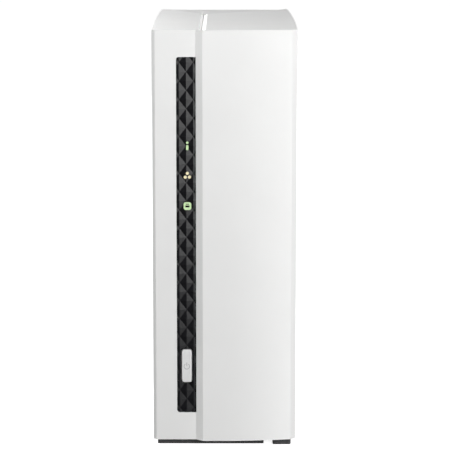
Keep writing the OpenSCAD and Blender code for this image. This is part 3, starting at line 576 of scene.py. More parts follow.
def relief():
    """Tiling of four-sided pyramids with a solid back, in millimetres. Four of them meet at meet_z."""
    half_w, half_h, deep = 3.175, 4.12, 0.8
    meet_z = 161.9
    margin = 0.5
    bm = bmesh.new()
    made = {}

    def corner(i, j):
        if (i, j) not in made:
            y = sy0 if (i + j) % 2 == 1 else sy0 + deep
            made[i, j] = bm.verts.new((strip_x + i * half_w, y, meet_z + j * half_h))
        return made[i, j]

    rows = range(int((sz0 - meet_z) / half_h) - 2, int((sz1 - meet_z) / half_h) + 3)
    for i in range(-3, 4):
        for j in rows:
            if (i + j) % 2 == 1:
                ring = [(i + 1, j), (i, j + 1), (i - 1, j), (i, j - 1)]
                for k in range(4):
                    bm.faces.new([corner(i, j), corner(*ring[k]), corner(*ring[(k + 1) % 4])])
    for place, out in (((sx0 - margin, 0, 0), (-1, 0, 0)), ((sx1 + margin, 0, 0), (1, 0, 0)),
                       ((0, 0, sz0 - margin), (0, 0, -1)), ((0, 0, sz1 + margin), (0, 0, 1))):
        bmesh.ops.bisect_plane(bm, geom=bm.verts[:] + bm.edges[:] + bm.faces[:], plane_co=place, plane_no=out,
                               clear_outer=True)
    new = bmesh.ops.extrude_edge_only(bm, edges=[e for e in bm.edges if e.is_boundary])
    for v in [g for g in new["geom"] if isinstance(g, bmesh.types.BMVert)]:
        v.co.y = sy0 + 2.0
    bmesh.ops.holes_fill(bm, edges=[e for e in bm.edges if e.is_boundary])
    bmesh.ops.recalc_face_normals(bm, faces=bm.faces)
    return mesh_of(bm)


def prisms(outlines, y0, y1):
    s = Shape()
    for outline in outlines:
        s.prism(outline, "y", y0, y1)
    return s.mesh()


def left_round(margin, r):
    """Outline of the strip with round corners on its left only."""
    x0, x1, z0, z1 = sx0 - margin, sx1 + margin, sz0 - margin, sz1 + margin
    return ([(x1, z0), (x1, z1)] + arc(x0 + r, z1 - r, r, 90, 180, 8) + arc(x0 + r, z0 + r, r, 180, 270, 8))


face = boolean(relief(), prisms([left_round(0, corner_r)], sy0 - 1, sy1 + 1), "INTERSECT")
face = boolean(face, prisms([left_round(0, corner_r)], sy0 + 1.5, sy1 - 0.01), "UNION")
face = boolean(face, prisms([left_round(rim, 1.6)], sy0 + 1.8, sy1), "UNION")
holes = [outline for outlines in strip_marks(0.03).values() for outline in outlines]
holes.append(rounded(button_x, button_z, button_w + 2 * button_gap, button_h + 2 * button_gap,
                     button_r + button_gap))
face = boolean(face, prisms(holes, sy0 - 1, sy1 + 1))
face.transform(Matrix.Scale(MM, 4))
piece(face, "strip_relief", "chassis", ["strip"], ["front_strip"], crease=4, weighted=False)

# The drive's mark is a square with two dark slots: (height above its middle, width, height, corner radius)
drive_slots = ((-0.12, 1.9, 0.9, 0.22), (0.84, 1.5, 0.34, 0.15))
lens_y = box_mm("drive_light_pipe")[0].y + 0.04
colours = {"status": "green_light", "network": "amber_light", "drive": "green_light"}
for key, outlines in strip_marks(0.0).items():
    node = key + "_light_pipe"
    low, high = box_mm(node)
    top = prisms(outlines, low.y + 0.04, sy1 + 0.1)
    if key == "drive":
        slots = [rounded(light_x, drive_mark_z + dz, w, h, r) for dz, w, h, r in drive_slots]
        top = boolean(top, prisms(slots, lens_y - 1, lens_y + 0.5))
    s = Shape(colours[key])
    s.add(top)
    cx, _, cz = centre_of(node)
    s.prism(rounded(cx, cz, high.x - low.x, high.z - low.z, 1.0), "y", sy1, sy1 + 1.2, bevel=0.15)
    s.box((cx - 1.6, sy1 + 1.1, cz - 1.6), (cx + 1.6, high.y, cz + 1.6), bevel=0.2)
    s.done(key + "_light", "chassis", slot=colours[key], replaces=[node])

s = Shape("strip")
for dz, w, h, r in drive_slots:
    s.prism(rounded(light_x, drive_mark_z + dz, w - 0.04, h - 0.04, r - 0.02), "y", lens_y + 0.1,
            lens_y + 0.48)
s.done("drive_light_marks", "chassis")


# ---- power button
front = button_low.y
s = Shape("button")
s.prism(rounded(button_x, button_z, button_w, button_h, button_r, steps=8), "y", front, sy1 + 0.4, bevel=0.35,
        segments=4, bevel_if=both_at("y", front))
s.prism(rounded(button_x, button_z, button_w + 2, button_h + 2, button_r), "y", sy1 + 0.3, sy1 + 1.3,
        bevel=0.15)
s.lathe([(0, sy1 + 1.2), (1.7, sy1 + 1.2), (1.7, button_high.y), (0, button_high.y)], "y",
        (button_x, button_z))
s.done("power_button_cap", "power_key", slot="button", replaces=["power_button"])

# The sign: a ring open at the top and a bar, printed on the cap
ring_z = button_z - 0.1
ring = arc(button_x, ring_z, 1.40, 122, 418, 28) + arc(button_x, ring_z, 1.08, 418, 122, 28)
s = Shape("button_print")
for outline in (ring, rounded(button_x, button_z + 0.9, 0.34, 1.7, 0.15, steps=3)):
    s.prism(outline, "y", front - 0.012, front + 0.05)
s.done("power_symbol", "power_key", weighted=False)


# ---- feet
def foot(name, node, body):
    solids = islands(node)
    for k, (low, high) in enumerate(solids):
        mid, size = (low + high) / 2, high - low
        s = Shape("foot")
        s.prism(rounded(mid.x, mid.y, size.x, size.y, 1.0, steps=5), "z", low.z, high.z, bevel=0.18,
                segments=3, bevel_if=both_at("z", low.z))
        s.done(name if len(solids) == 1 else f"{name}_{k + 1}", body, slot="foot", replaces=[node])


foot("front_foot_pad", "front_foot", "chassis")
foot("rear_foot_pad", "rear_foot", "chassis")
foot("cover_foot_pad", "cover_feet", "cover")


# ---- screws
def screw_mesh(head_r, head_h, shank_r, length, drive, cap):
    """Screw along +Z in millimetres: its head's seat is at 0."""
    s = Shape()
    if cap == "pan":
        head = [(head_r * 0.96, 0), (head_r, 0.12), (head_r, head_h * 0.38), (head_r * 0.94, head_h * 0.62),
                (head_r * 0.78, head_h * 0.84), (head_r * 0.5, head_h * 0.97), (0, head_h)]
    else:
        head = [(head_r, 0), (head_r, head_h - 0.2), (head_r - 0.2, head_h), (0, head_h)]
    thread, z = [(0, -length), (shank_r * 0.6, -length), (shank_r * 0.85, -length + 0.4)], -length + 0.6
    while z < -0.6:
        thread += [(shank_r * 0.85, z), (shank_r, z + 0.14), (shank_r * 0.85, z + 0.28)]
        z += 0.5
    s.lathe(thread + [(shank_r * 0.9, 0)] + head, "z", (0, 0), steps=28)
    solid = s.mesh()
    # The recess, wide at the top and narrow at its floor: a cross of four arms or a six-pointed star
    if drive == "cross":
        w, r = head_r * 0.14, head_r * 0.6
        outline = [(r, -w), (r, w), (w, w), (w, r), (-w, r), (-w, w),
                   (-r, w), (-r, -w), (-w, -w), (-w, -r), (w, -r), (w, -w)]
        narrow = 0.5
    else:
        outline = [(math.cos(t) * r, math.sin(t) * r) for t, r in
                   ((math.pi * k / 6, head_r * (0.56 if k % 2 == 0 else 0.40)) for k in range(12))]
        narrow = 1.0
    ends = ((narrow, head_h * 0.38), (1.1, head_h + 0.2))
    cut = Shape()
    cut.solid([[(x * k, y * k, z) for x, y in outline] for k, z in ends])
    return boolean(solid, cut.mesh())


def screws(name, node, body, axis, facing, head_h, shank_r, drive="cross", cap="pan", mat="screw"):
    """Screws in place of each solid of a CAD node, with their heads toward facing(middle) along the axis."""
    i = AXES[axis]
    s = Shape(mat)
    for low, high in islands(node):
        head_r = (high[(i + 1) % 3] - low[(i + 1) % 3]) / 2
        way = facing((low + high) / 2)
        length = high[i] - low[i] - head_h
        seat = (low + high) / 2
        seat[i] = high[i] - head_h if way > 0 else low[i] + head_h
        aim = Vector([way if k == i else 0 for k in range(3)])
        turn = Matrix.Rotation(random.uniform(0, math.pi / 2), 4, "Z")
        pose = Matrix.Translation(seat) @ aim.to_track_quat("Z", "Y").to_matrix().to_4x4() @ turn
        s.add(screw_mesh(head_r, head_h, shank_r, length, drive, cap), pose)
    s.done(name, body, slot="screw", replaces=[node], crease=38)


def forward(place):
    return 1


def away_from_drive(place):
    return -1 if place.y < centre_of("drive_casting").y else 1


for name, node, axis, shank_r in (
        ("fan_screw_set", "fan_screws", "y", 1.5), ("cover_screw_set", "cover_screws", "y", 1.5),
        ("housing_screw_set", "housing_screws", "y", 1.5), ("board_screw_set", "board_screws", "x", 1.5),
        ("bracket_screw_set", "bracket_screws", "x", 1.5),
        ("socket_screw_set", "socket_board_screws", "z", 1.5),
        ("indicator_screw_set", "indicator_screws", "y", 1.2)):
    screws(name, node, "chassis", axis, forward, 1.8, shank_r)
screws("lid_screw_set", "drive_lid_screws", "drive", "x", forward, 0.8, 1.0, "star", "flat", "screw_dark")
screws("mounting_screw_set", "drive_mounting_screws", "drive", "y", away_from_drive, 1.6, 2.0)


# ---- rear ports
def hollow(s, outer, inner, y0, y1, floor, bevel=0.15):
    """Tube of two outlines along Y, with a floor of some thickness at its low end."""
    shell = Shape()
    shell.prism(outer, "y", y0, y1, bevel=bevel)
    s.add(boolean(shell.mesh(), prisms([inner], y0 + floor, y1 + 1)))


low, high = box_mm("network_jack")
mid, size = (low + high) / 2, high - low
plug_x = mid.x - 0.1
well_y = high.y - 13.6
plug = [(-3.4, -5.9), (3.6, -5.9), (3.6, -3.1), (5.0, -3.1), (5.0, 3.1), (3.6, 3.1), (3.6, 5.9), (-3.4, 5.9)]
opening, mouth = [[(plug_x + u * wide, mid.z + v * tall) for u, v in plug]
                  for wide, tall in ((1, 1), (1.07, 1.05))]
s = Shape("port_shell", "black_plastic")
hollow(s, rounded(mid.x, mid.z, size.x, size.z, 0.5, steps=3), mouth, low.y, high.y, 0.4)
s.slot = 1
hollow(s, rounded(mid.x, mid.z, size.x - 0.9, size.z - 0.9, 0.3, steps=2), opening, low.y + 0.5, high.y - 0.5,
       well_y - low.y - 0.5, bevel=0.08)
s.slot = 0
for side in (-1, 1):
    for z in (mid.z - 3.5, mid.z + 3.5):
        tongue = [(high.y - 9, z - 1), (high.y - 2.2, z - 0.8), (high.y - 2.2, z + 0.8), (high.y - 9, z + 1)]
        s.prism(tongue, "x", *sorted((mid.x + side * (size.x / 2 - 0.05), mid.x + side * size.x / 2)))
s.done("network_socket_body", "chassis", slot="port_shell", replaces=["network_jack"])

s = Shape("gold_pin")
for k in range(8):
    z = mid.z + (k - 3.5) * 1.02
    s.strap([(plug_x + u - 3.3, plug_x + u - 3.08, z - 0.22, z + 0.22, y) for u, y in (
        (0.15, high.y - 1.2), (0.2, high.y - 2.0), (2.3, high.y - 8.5), (2.5, high.y - 9.1),
        (2.2, high.y - 9.8), (0.9, well_y - 0.3))])
s.done("network_contacts", "chassis", slot="gold_pin")

s = Shape("green_light", "amber_light")
for k, z in enumerate((mid.z - 4.7, mid.z + 4.7)):
    s.slot = k
    s.box((plug_x + 4.25, high.y - 1.0, z - 1.1), (plug_x + 5.65, high.y - 0.42, z + 1.1), bevel=0.15)
s.done("network_lamps", "chassis", slot="green_light")

for name in ("usb_port_lower", "usb_port_upper"):
    low, high = box_mm(name)
    mid, size = (low + high) / 2, high - low
    s = Shape("port_shell", "black_plastic")
    hollow(s, rounded(mid.x, mid.z, size.x, size.z, 0.9, steps=4),
           rounded(mid.x, mid.z, size.x - 0.8, size.z - 0.8, 0.6, steps=4), low.y, high.y, 0.4, bevel=0.12)
    # Springs that hold the plug, two on each side and one at each end: (distance from the mouth, height)
    for z in (mid.z - 3.1, mid.z + 3.1):
        for x, way in ((low.x + 0.4, 1), (high.x - 0.4, -1)):
            s.strap([(x, x + way * (lift + 0.25), z - 1.1, z + 1.1, high.y - back)
                     for back, lift in ((9.5, 0.0), (4.2, 0.55), (3.2, 0.5), (2.4, 0.05))])
    for z, way in ((low.z + 0.4, 1), (high.z - 0.4, -1)):
        s.strap([(mid.x - 0.9, mid.x + 0.9, z, z + way * (lift + 0.25), high.y - back)
                 for back, lift in ((9.0, 0.0), (4.2, 0.4), (3.2, 0.35), (2.4, 0.05))])
    s.slot = 1
    s.box((low.x + 0.5, low.y + 0.5, low.z + 0.5), (high.x - 0.5, low.y + 4.2, high.z - 0.5), bevel=0.1)
    s.done(name + "_shell", "chassis", slot="port_shell", replaces=[name])

s = Shape("usb_tongue", "gold_pin")
for low, high in islands("usb_tongues"):
    mid = (low + high) / 2
    s.slot = 0
    s.prism([(low.x, low.y), (high.x, low.y), (high.x, high.y - 0.5), (high.x - 0.5, high.y),
             (low.x, high.y)], "z", low.z, high.z, bevel=0.12)
    s.slot = 1
    for dz in (-3.5, -1.0, 1.0, 3.5):
        z = mid.z + dz
        s.box((high.x - 0.05, low.y + 1.0, z - 0.5), (high.x + 0.12, high.y - 1.6, z + 0.5), bevel=0.05)
    for k in range(5):
        z = mid.z + (k - 2) * 2.0
        s.box((high.x - 0.05, low.y + 0.2, z - 0.3), (high.x + 0.28, low.y + 2.6, z + 0.3), bevel=0.06)
s.done("usb_contact_tongues", "chassis", slot="usb_tongue", replaces=["usb_tongues"])

low, high = box_mm("power_jack_pin")
mid, r = (low + high) / 2, (high.x - low.x) / 2
tip = [(u, high.y - 0.9 + v * 0.9 / r) for u, v in arc(0, 0, r, 0, 75, 5)[1:]]
s = Shape("gold_pin")
s.lathe([(0, low.y), (r, low.y), (r, high.y - 0.9)] + tip + [(0, high.y)], "y", (mid.x, mid.z))
s.strap([(mid.x - 0.8, mid.x + 0.8, mid.z + 2.75 - lift, mid.z + 3.0 - lift, y)
         for y, lift in ((low.y, 0.1), (high.y - 3.5, 0.75), (high.y - 2.2, 0.3))])
s.done("power_contact", "chassis", slot="gold_pin", replaces=["power_jack_pin"])


# ---- fan
low, high = box_mm("fan_rotor")
hub_r, tip_r, blades = 11.0, 23.2, 7
hub_edge_r = 1.6
along_r, across_blade = 9, 7
y0, y1 = low.y, high.y - 0.2
s = Shape("black_plastic", "fan_sticker")
hub = [(0, y0)] + arc(hub_r - hub_edge_r, y0 + hub_edge_r, hub_edge_r, -90, 0, 6)
hub += [(hub_r, y1), (hub_r - 1.4, y1), (hub_r - 1.4, y0 + 1.4), (1.5, y0 + 1.4), (1.5, high.y), (0, high.y)]
s.lathe(hub, "y", (fan_x, fan_z), steps=56)
# A blade is rings from hub to tip; each goes there along one side and back along the other
there = [(j / (across_blade - 1), 1) for j in range(across_blade)]
back = [(f, -1) for f, _ in reversed(there)]
for k in range(blades):
    rings = []
    for i in range(along_r):
        f = i / (along_r - 1)
        r = hub_r - 0.5 + (tip_r - hub_r + 0.5) * f
        span = math.radians(34 - 5 * f)
        start = 2 * math.pi * k / blades + math.radians(16) * f * f
        ring = []
        for c, side in there + back:
            t = start + (c - 0.5) * span
            thick = 0.5 * (0.35 + 0.65 * math.sin(math.pi * min(max(c, 0.06), 0.94)))
            y = y0 + 0.5 + (y1 - y0 - 1.0) * (1 - c) - 0.9 * math.sin(math.pi * c) + side * thick
            y = min(max(y, y0 + 0.05), y1 - 0.02)
            ring.append((fan_x + r * math.cos(t), y, fan_z + r * math.sin(t)))
        rings.append(ring)
    s.solid(rings)
s.slot = 1
s.lathe([(0, y0 - 0.08), (8.6, y0 - 0.08), (8.6, y0 + 0.02), (0, y0 + 0.02)], "y", (fan_x, fan_z), steps=48)
s.done("fan_impeller", "fan_wheel", slot="black_plastic", replaces=["fan_rotor"], crease=40)


def bent(points, radius, steps=5):
    """Path through points whose corners are rounded."""
    points = [Vector(p) for p in points]
    path = [points[0]]
    for a, b, c in zip(points, points[1:], points[2:]):
        u, v = (a - b).normalized(), (c - b).normalized()
        r = min(radius, (a - b).length * 0.45, (c - b).length * 0.45)
        for i in range(steps + 1):
            f = i / steps
            path.append((b + u * r) * (1 - f) ** 2 + b * 2 * f * (1 - f) + (b + v * r) * f ** 2)
    path.append(points[-1])
    return path


low, high = box_mm("fan_cable")
inset = 0.65
s = Shape("cable", "wire_red", "wire_yellow")
for k in range(3):
    s.slot = k
    z = low.z + 0.62 + 1.3 * k
    start_y, end_y = low.y + inset, high.y - inset - 1.2 * k
    turn_x = high.x - inset
    s.tube(bent([(low.x + 1.5, start_y, z), (turn_x - 0.5 * (k - 1), start_y, z), (turn_x, end_y, z),
                 (turn_x, end_y, high.z - 0.05)], 4.0), 0.58)
s.done("fan_lead", "chassis", slot="cable", replaces=["fan_cable"])

low, high = box_mm("fan_header")
s = Shape("ivory", "gold_pin")
s.box((low.x + 3.0, low.y + 1.2, low.z + 1.2), (high.x + 2.6, high.y - 1.2, high.z - 1.2), bevel=0.25)
s.slot = 1
for k in range(3):
    z = (low.z + high.z) / 2 + (k - 1) * 2
    s.box((low.x + 1.0, low.y + 2.7, z - 0.3), (low.x + 3.2, low.y + 3.3, z + 0.3), bevel=0.05)
s.done("fan_lead_plug", "chassis", slot="white_plastic")


# ---- main board
board_low, board_high = box_mm("main_board")
board_face = board_low.x + 1.6


def chip_piece(name, node, pitch):
    """Flat packages with gull-wing legs at their two ends in Z and a dimple by the first leg."""
    leg = 0.9
    s = Shape("chip", "solder")
    for low, high in islands(node):
        s.slot = 0
        package = Shape()
        package.box((low.x + 0.12, low.y, low.z + leg), (high.x, high.y, high.z - leg), bevel=0.12)
        dimple = Shape()
        dimple.lathe([(0, high.x - 0.12), (0.45, high.x - 0.12), (0.45, high.x + 1), (0, high.x + 1)], "x",
                     (low.y + 1.3, high.z - leg - 1.3), steps=20)
        s.add(boolean(package.mesh(), dimple.mesh()))
        s.slot = 1
        count = int((high.y - low.y - 1.2) / pitch) + 1
        half = pitch * 0.2
        corners = ((-0.09, -half), (0.09, -half), (0.09, half), (-0.09, half))
        for k in range(count):
            y = (low.y + high.y) / 2 + pitch * (k - (count - 1) / 2)
            for side, out in ((-1, low.z), (1, high.z)):
                path = [(0.62, out - side * (leg + 0.1)), (0.6, out - side * 0.55), (0.16, out - side * 0.42),
                        (0.1, out)]
                s.solid([[(low.x + x + u, y + v, z) for u, v in corners] for x, z in path])
    s.done(name, "chassis", slot="chip", replaces=[node])


chip_piece("memory_packages", "memory_chips", 0.8)
chip_piece("flash_package", "flash_chip", 0.5)

s = Shape("capacitor", "sleeve", "black_plastic")
for low, high in islands("capacitors"):
    _, my, mz = (low + high) / 2
    r = (high.y - low.y) / 2
    cut = r - 0.9
    s.slot = 2
    s.prism([(my - r, mz - r), (my + r, mz - r), (my + r, mz + cut), (my + cut, mz + r), (my - cut, mz + r),
             (my - r, mz + cut)], "x", low.x, low.x + 0.8, bevel=0.1)
    s.slot = 0
    c = r - 0.12
    s.lathe([(0, low.x + 0.7), (c, low.x + 0.7), (c, low.x + 1.5), (c - 0.28, low.x + 1.75),
             (c - 0.28, low.x + 2.0), (c, low.x + 2.25), (c, high.x - 0.35), (c - 0.12, high.x - 0.12),
             (c - 0.4, high.x), (c - 0.75, high.x - 0.1), (0, high.x - 0.12)], "x", (my, mz), steps=40)
    s.slot = 1
    s.prism(arc(my, mz, c - 0.5, 200, 340, 16), "x", high.x - 0.2, high.x - 0.08)
s.done("capacitor_cans", "chassis", slot="capacitor", replaces=["capacitors"])

s = Shape("chip", "solder")
for low, high in islands("power_inductors"):
    mid, size = (low + high) / 2, high - low
    s.slot = 0
    s.prism(rounded(mid.y, mid.z, size.y - 0.3, size.z - 0.3, 0.9, steps=4), "x", low.x + 0.3, high.x,
            bevel=0.3, segments=3, bevel_if=both_at("x", high.x))
    s.slot = 1
    for y, way in ((low.y, 1), (high.y, -1)):
        for reach, tall, half_w in ((1.4, 0.5, 1.6), (0.25, 2.4, 1.4)):
            y0, y1 = sorted((y, y + way * reach))
            s.box((low.x, y0, mid.z - half_w), (low.x + tall, y1, mid.z + half_w), bevel=0.06)
s.done("inductor_set", "chassis", slot="chip", replaces=["power_inductors"])

low, high = box_mm("coin_cell")
_, my, mz = (low + high) / 2
r = (high.y - low.y) / 2
s = Shape("port_shell")
s.lathe([(0, low.x), (r - 1.3, low.x), (r - 1.1, low.x + 0.5), (r, low.x + 0.7), (r, high.x - 0.35),
         (r - 0.35, high.x), (r - 1.1, high.x), (r - 1.3, high.x - 0.06), (0, high.x - 0.06)], "x",
        (my, mz), steps=64)
for w, h in ((3.2, 0.7), (0.7, 3.2)):
    s.prism(rounded(my, mz + 4.6, w, h, 0.2, steps=2), "x", high.x - 0.1, high.x)
s.done("coin_cell_can", "chassis", slot="port_shell", replaces=["coin_cell"])

low, high = box_mm("coin_cell_holder")
s = Shape("port_shell")
s.strap([(high.x - down, high.x - down + 0.3, mz - 3.2, mz + 3.2, low.y + y)
         for down, y in ((1.0, -0.2), (0.25, 0.8), (0.55, 4.2), (0.78, 5.0), (0.5, 6.0))])
s.done("cell_spring", "chassis", slot="port_shell")

# Small parts between the larger ones: their places are drawn, then tested against every board component
taken = [box_mm(n) for n in ("processor", "heatsink", "coin_cell_holder", "beeper", "network_jack",
                             "usb_port_upper", "usb_port_lower", "power_jack", "reset_switch",
                             "fan_header", "board_link")]
for n in ("memory_chips", "flash_chip", "power_inductors", "capacitors", "board_screws"):
    taken += islands(n)
clear = 0.7
rects = [(a.y - clear, b.y + clear, a.z - clear, b.z + clear) for a, b in taken]
reset_corner = (48, 72, 95, 108)
rects.append(reset_corner)


def free_spot(y, z, w, h):
    return all(y + w / 2 < a or y - w / 2 > b or z + h / 2 < c or z - h / 2 > d for a, b, c, d in rects)


def take_spot(y, z, w, h, margin):
    rects.append((y - w / 2 - margin, y + w / 2 + margin, z - h / 2 - margin, z + h / 2 + margin))


def passive(s, y, z, along_z, size, height, body):
    """Surface-mount part: a body between two soldered ends."""
    length, width = size
    parts = ((-0.5, -0.27, 1, 0.0), (-0.27, 0.27, body, 0.05), (0.27, 0.5, 1, 0.0))
    for a, b, slot, thin in parts:
        s.slot = slot
        box = [(a * length, b * length), (-width / 2 + thin, width / 2 - thin)]
        (u0, u1), (v0, v1) = box if not along_z else box[::-1]
        s.box((board_face - 0.02, y + u0, z + v0), (board_face + height - thin, y + u1, z + v1), bevel=0.06,
              segments=1)


pin_pitch = 0.65
s = Shape("chip", "solder")
for y, z, size in ((50, 52, 6.0), (49.5, 66, 4.0), (-9, 90, 5.0), (-8, 70, 4.0)):
    take_spot(y, z, size, size, 1)
    half = size / 2
    s.slot = 0
    s.box((board_face + 0.05, y - half, z - half), (board_face + 0.9, y + half, z + half), bevel=0.1)
    s.slot = 1
    pins = int(size / pin_pitch)
    for k in range(pins):
        u = (k - (pins - 1) / 2) * pin_pitch
        for a, b in ((-half - 0.45, -half), (half, half + 0.45)):
            s.box((board_face, y + a, z + u - 0.14), (board_face + 0.22, y + b, z + u + 0.14))
            s.box((board_face, y + u - 0.14, z + a), (board_face + 0.22, y + u + 0.14, z + b))
s.done("board_controllers", "chassis", slot="chip", weighted=False)

s = Shape("ceramic", "solder", "chip")
wanted, placed, tries = 96, 0, 900
grid = 1.27
for _ in range(tries):
    if placed == wanted:
        break
    y = round(random.uniform(board_low.y + 2, board_high.y - 3) / grid) * grid
    z = round(random.uniform(board_low.z + 2, board_high.z - 2) / grid) * grid
    along_z = random.random() < 0.5
    size = random.choice(((1.6, 0.8), (1.6, 0.8), (2.0, 1.25), (3.2, 1.6)))
    w, h = size if not along_z else size[::-1]
    in_bare_corner = z > 60 and y < -8
    if in_bare_corner or not free_spot(y, z, w + 0.6, h + 0.6):
        continue
    take_spot(y, z, w, h, 0.3)
    passive(s, y, z, along_z, size, size[1] * 0.6, random.choice((0, 0, 2)))
    placed += 1
s.done("board_small_parts", "chassis", slot="chip", weighted=False)

low, high = box_mm("heatsink")
s = Shape("screw", "black_plastic")
for y, z in ((low.y + 3.7, high.z - 3.0), (high.y - 3.7, low.z + 3.0)):
    s.slot = 1
    s.lathe([(0, low.x + 2.4), (1.2, low.x + 2.4), (1.2, high.x - 2.0), (1.9, high.x - 2.0),
             (1.9, high.x - 1.0), (1.3, high.x - 0.6), (0, high.x - 0.6)], "x", (y, z), steps=24)
    s.slot = 0
    turns, per_turn, coil_r = 5, 14, 1.55
    x0, x1 = low.x + 2.7, high.x - 2.2
    coil = arc(y, z, coil_r, 0, 360 * turns, turns * per_turn)
    s.tube([(x0 + (x1 - x0) * k / (len(coil) - 1), u, v) for k, (u, v) in enumerate(coil)], 0.2, sides=6)
s.done("heatsink_pins", "chassis", slot="screw")

# Contacts of the board-to-board link, the drive's socket and its plug
s = Shape("gold_pin")
low, high = box_mm("board_link")
for k in range(9):
    y = low.y + 1.6 + k * (high.y - low.y - 3.2) / 8
    s.box((high.x - 0.05, y - 0.35, low.z + 0.4), (high.x + 0.15, y + 0.35, low.z + 3.0), bevel=0.05)
    s.box((high.x - 0.05, y - 0.35, low.z + 0.0), (high.x + 1.4, y + 0.35, low.z + 0.2), bevel=0.05)
low, high = box_mm("drive_socket")
for k in range(22):
    y = low.y + 4.5 + k * 1.6
    if k in (7, 8):
        continue
    s.box((low.x - 0.9, y - 0.25, low.z), (low.x + 0.1, y + 0.25, low.z + 0.18), bevel=0.04)
s.done("link_contacts", "chassis", slot="gold_pin")


# ---- drive
low, high = box_mm("drive_lid")
mid, size = (low + high) / 2, high - low
_, spin_y, spin_z = centre_of("platter_stack")
sheet = Shape()
sheet.prism(rounded(mid.y, mid.z, size.y, size.z, 5.0), "x", low.x, high.x - 0.45, bevel=0.15)
raised = Shape()
raised.prism(rounded(mid.y, mid.z, size.y - 13, size.z - 13, 9.0, steps=8), "x", low.x + 0.2, high.x,
             bevel=0.4, segments=3, bevel_if=both_at("x", high.x))
lid = boolean(sheet.mesh(), raised.mesh(), "UNION")
dishes = Shape()
for a, b in islands("drive_lid_screws"):
    dishes.lathe([(0, low.x - 1), (1.15, low.x - 1), (1.15, high.x - 0.62), (2.9, high.x - 0.55),
                  (3.3, high.x - 0.30), (3.6, high.x + 1), (0, high.x + 1)], "x",
                 ((a.y + b.y) / 2, (a.z + b.z) / 2))
lid = boolean(lid, dishes.mesh())
# A shallow groove round the spindle: its profile ends where it starts, so the two caps there are taken out
groove_out, groove_in, groove_x = 41.0, 38.6, high.x - 0.22
groove = Shape()
groove.lathe([(groove_out, groove_x), (groove_out + 0.35, high.x + 0.3), (groove_in - 0.35, high.x + 0.3),
              (groove_in, groove_x), (groove_out, groove_x)], "x", (spin_y, spin_z), steps=96)
bmesh.ops.remove_doubles(groove.bm, verts=groove.bm.verts, dist=1e-5)
for f in [f for f in groove.bm.faces if len(f.verts) > 8]:
    groove.bm.faces.remove(f)
bmesh.ops.recalc_face_normals(groove.bm, faces=groove.bm.faces)
s = Shape("drive_lid")
s.add(boolean(lid, groove.mesh()))
s.done("drive_lid_pressing", "drive", slot="drive_lid", replaces=["drive_lid"], crease=20)

label_h, label_w = 45.0, 72.0
label_z = low.z + 8 + label_h / 2
ink = (high.x + 0.05, high.x + 0.075)
left_y = mid.y - 30
s = Shape("label", "label_band", "label_ink")
s.prism(rounded(mid.y, label_z, label_w, label_h, 2.0), "x", high.x - 0.02, high.x + 0.06)
s.slot = 1
s.prism(rounded(mid.y, label_z + label_h / 2 - 6, label_w - 4, 7, 1.0), "x", *ink)
s.slot = 2
bar_y = left_y
while bar_y < mid.y + 22:
    bar = random.choice((0.25, 0.25, 0.5, 0.75))
    s.box((ink[0], bar_y, label_z - 19), (ink[1], bar_y + bar, label_z - 13))
    bar_y += bar + random.choice((0.3, 0.5, 0.8))
for k, end in enumerate((24, 12, 18, 6)):
    z = label_z + 8 - 5 * k
    s.box((ink[0], left_y, z), (ink[1], mid.y + end, z + 0.25))
s.done("drive_label", "drive", weighted=False)

low, high = box_mm("drive_board")
s = Shape("chip", "solder")
for y, z, w, h in ((-18, 50, 12, 12), (14, 42, 10, 6), (16, 66, 8, 8), (-30, 70, 6, 5)):
    s.box((low.x - 0.45, y - w / 2, z - h / 2), (low.x + 0.05, y + w / 2, z + h / 2), bevel=0.1)
s.done("drive_board_chips", "drive", slot="chip")


# CAD nodes that no piece replaces
for part in frame["record"]["subparts"]:
    if not nodes[part["node"]].hide_render:
        soften(part["node"], part["material_slot"] if part["material_slot"] in M else "ivory")


# ---- camera, light, stage
def area_light(name, place, target, width, height, watts):
    data = bpy.data.lights.new(name, "AREA")
    data.shape = "RECTANGLE"
    data.size, data.size_y = width, height
    data.energy = watts
    o = put(name, data)
    o.location = place
    o.rotation_euler = (Vector(target) - Vector(place)).to_track_quat("-Z", "Y").to_euler()
    return o


camera_tilt = 9.51
camera_data = bpy.data.cameras.new("Camera")
camera_data.lens = 161.9
camera_data.sensor_width = 36
camera_data.clip_start = 0.01
camera = put("Camera", camera_data)
camera.location = (0.00024, -0.96605, 0.25093)
camera.rotation_euler = (math.radians(90 - camera_tilt), 0, 0)
scene.camera = camera
scene.view_settings.view_transform = "Standard"

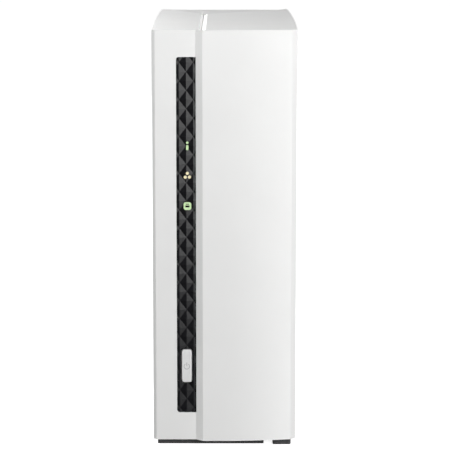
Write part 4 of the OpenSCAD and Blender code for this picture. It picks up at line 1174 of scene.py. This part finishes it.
# The studio is one pale surface: a floor that curves up into a wall. Lights sit inside it.
stage_mat = material("studio_white", (0.90, 0.90, 0.895), 0.7, (0.004, 0.006), (0.5, 0.01),
                     Emission_Color=(1.0, 1.0, 1.0), Emission_Strength=0.86)
flat_r, bend_r, wall_top = 3000, 1500, 5000
studio = Shape()
bend = arc(flat_r, bend_r, bend_r, -90, 0, 8)
studio.lathe([(0, 0)] + bend + [(flat_r + bend_r, wall_top)], "z", (0, 0), steps=64)
lids = [f for f in studio.bm.faces if all(v.co.z > wall_top - 1 for v in f.verts)]
bmesh.ops.delete(studio.bm, geom=lids, context="FACES_ONLY")
bmesh.ops.reverse_faces(studio.bm, faces=studio.bm.faces)
studio.bm.transform(Matrix.Scale(MM, 4))
me = studio.mesh("studio_floor")
me.materials.append(stage_mat)
floor = put("studio_floor", me)
floor.visible_diffuse = False
floor.visible_glossy = False
floor.visible_shadow = False
floor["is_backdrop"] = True

world = bpy.data.worlds.new("World")
world.use_nodes = True
background = world.node_tree.nodes["Background"]
background.inputs["Color"].default_value = (1, 1, 1, 1)
background.inputs["Strength"].default_value = 0.16
scene.world = world

middle = (0, 0, 0.1)
area_light("key", (0.65, -1.1, 0.6), middle, 0.5, 0.66, 12.7)
area_light("near", (-0.05, -0.2, 0.4), (0, -0.05, 0.15), 0.3, 0.25, 0.3)
area_light("left", (-1.3, -0.4, 0.6), middle, 0.7, 0.8, 6.6)
area_light("right", (1.3, 0.0, 0.5), middle, 0.7, 0.8, 4.2)
area_light("back", (-0.5, 1.2, 0.45), middle, 0.8, 0.6, 11.2)
# Cards that only show as reflections: two for the relief, one for the seam, the others for bare metal
for name, place, width, height, watts in (
        ("low_card", (0.62, -1.1, -0.35), 0.4, 0.44, 5.6),
        ("tall_card", (0.6, -1.1, -0.2), 0.4, 1.7, 5.6),
        ("seam_card", (0.06, 1.6, 0.28), 0.14, 0.1, 0.05),
        ("rear_card", (0.1, 1.6, -0.4), 2.2, 1.1, 4.5),
        ("right_card", (1.6, 0.3, -0.4), 1.8, 1.1, 3.2),
        ("left_card", (-1.6, 0.5, -0.4), 1.6, 1.1, 3.0)):
    area_light(name, place, middle, width, height, watts).visible_diffuse = False

low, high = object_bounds()
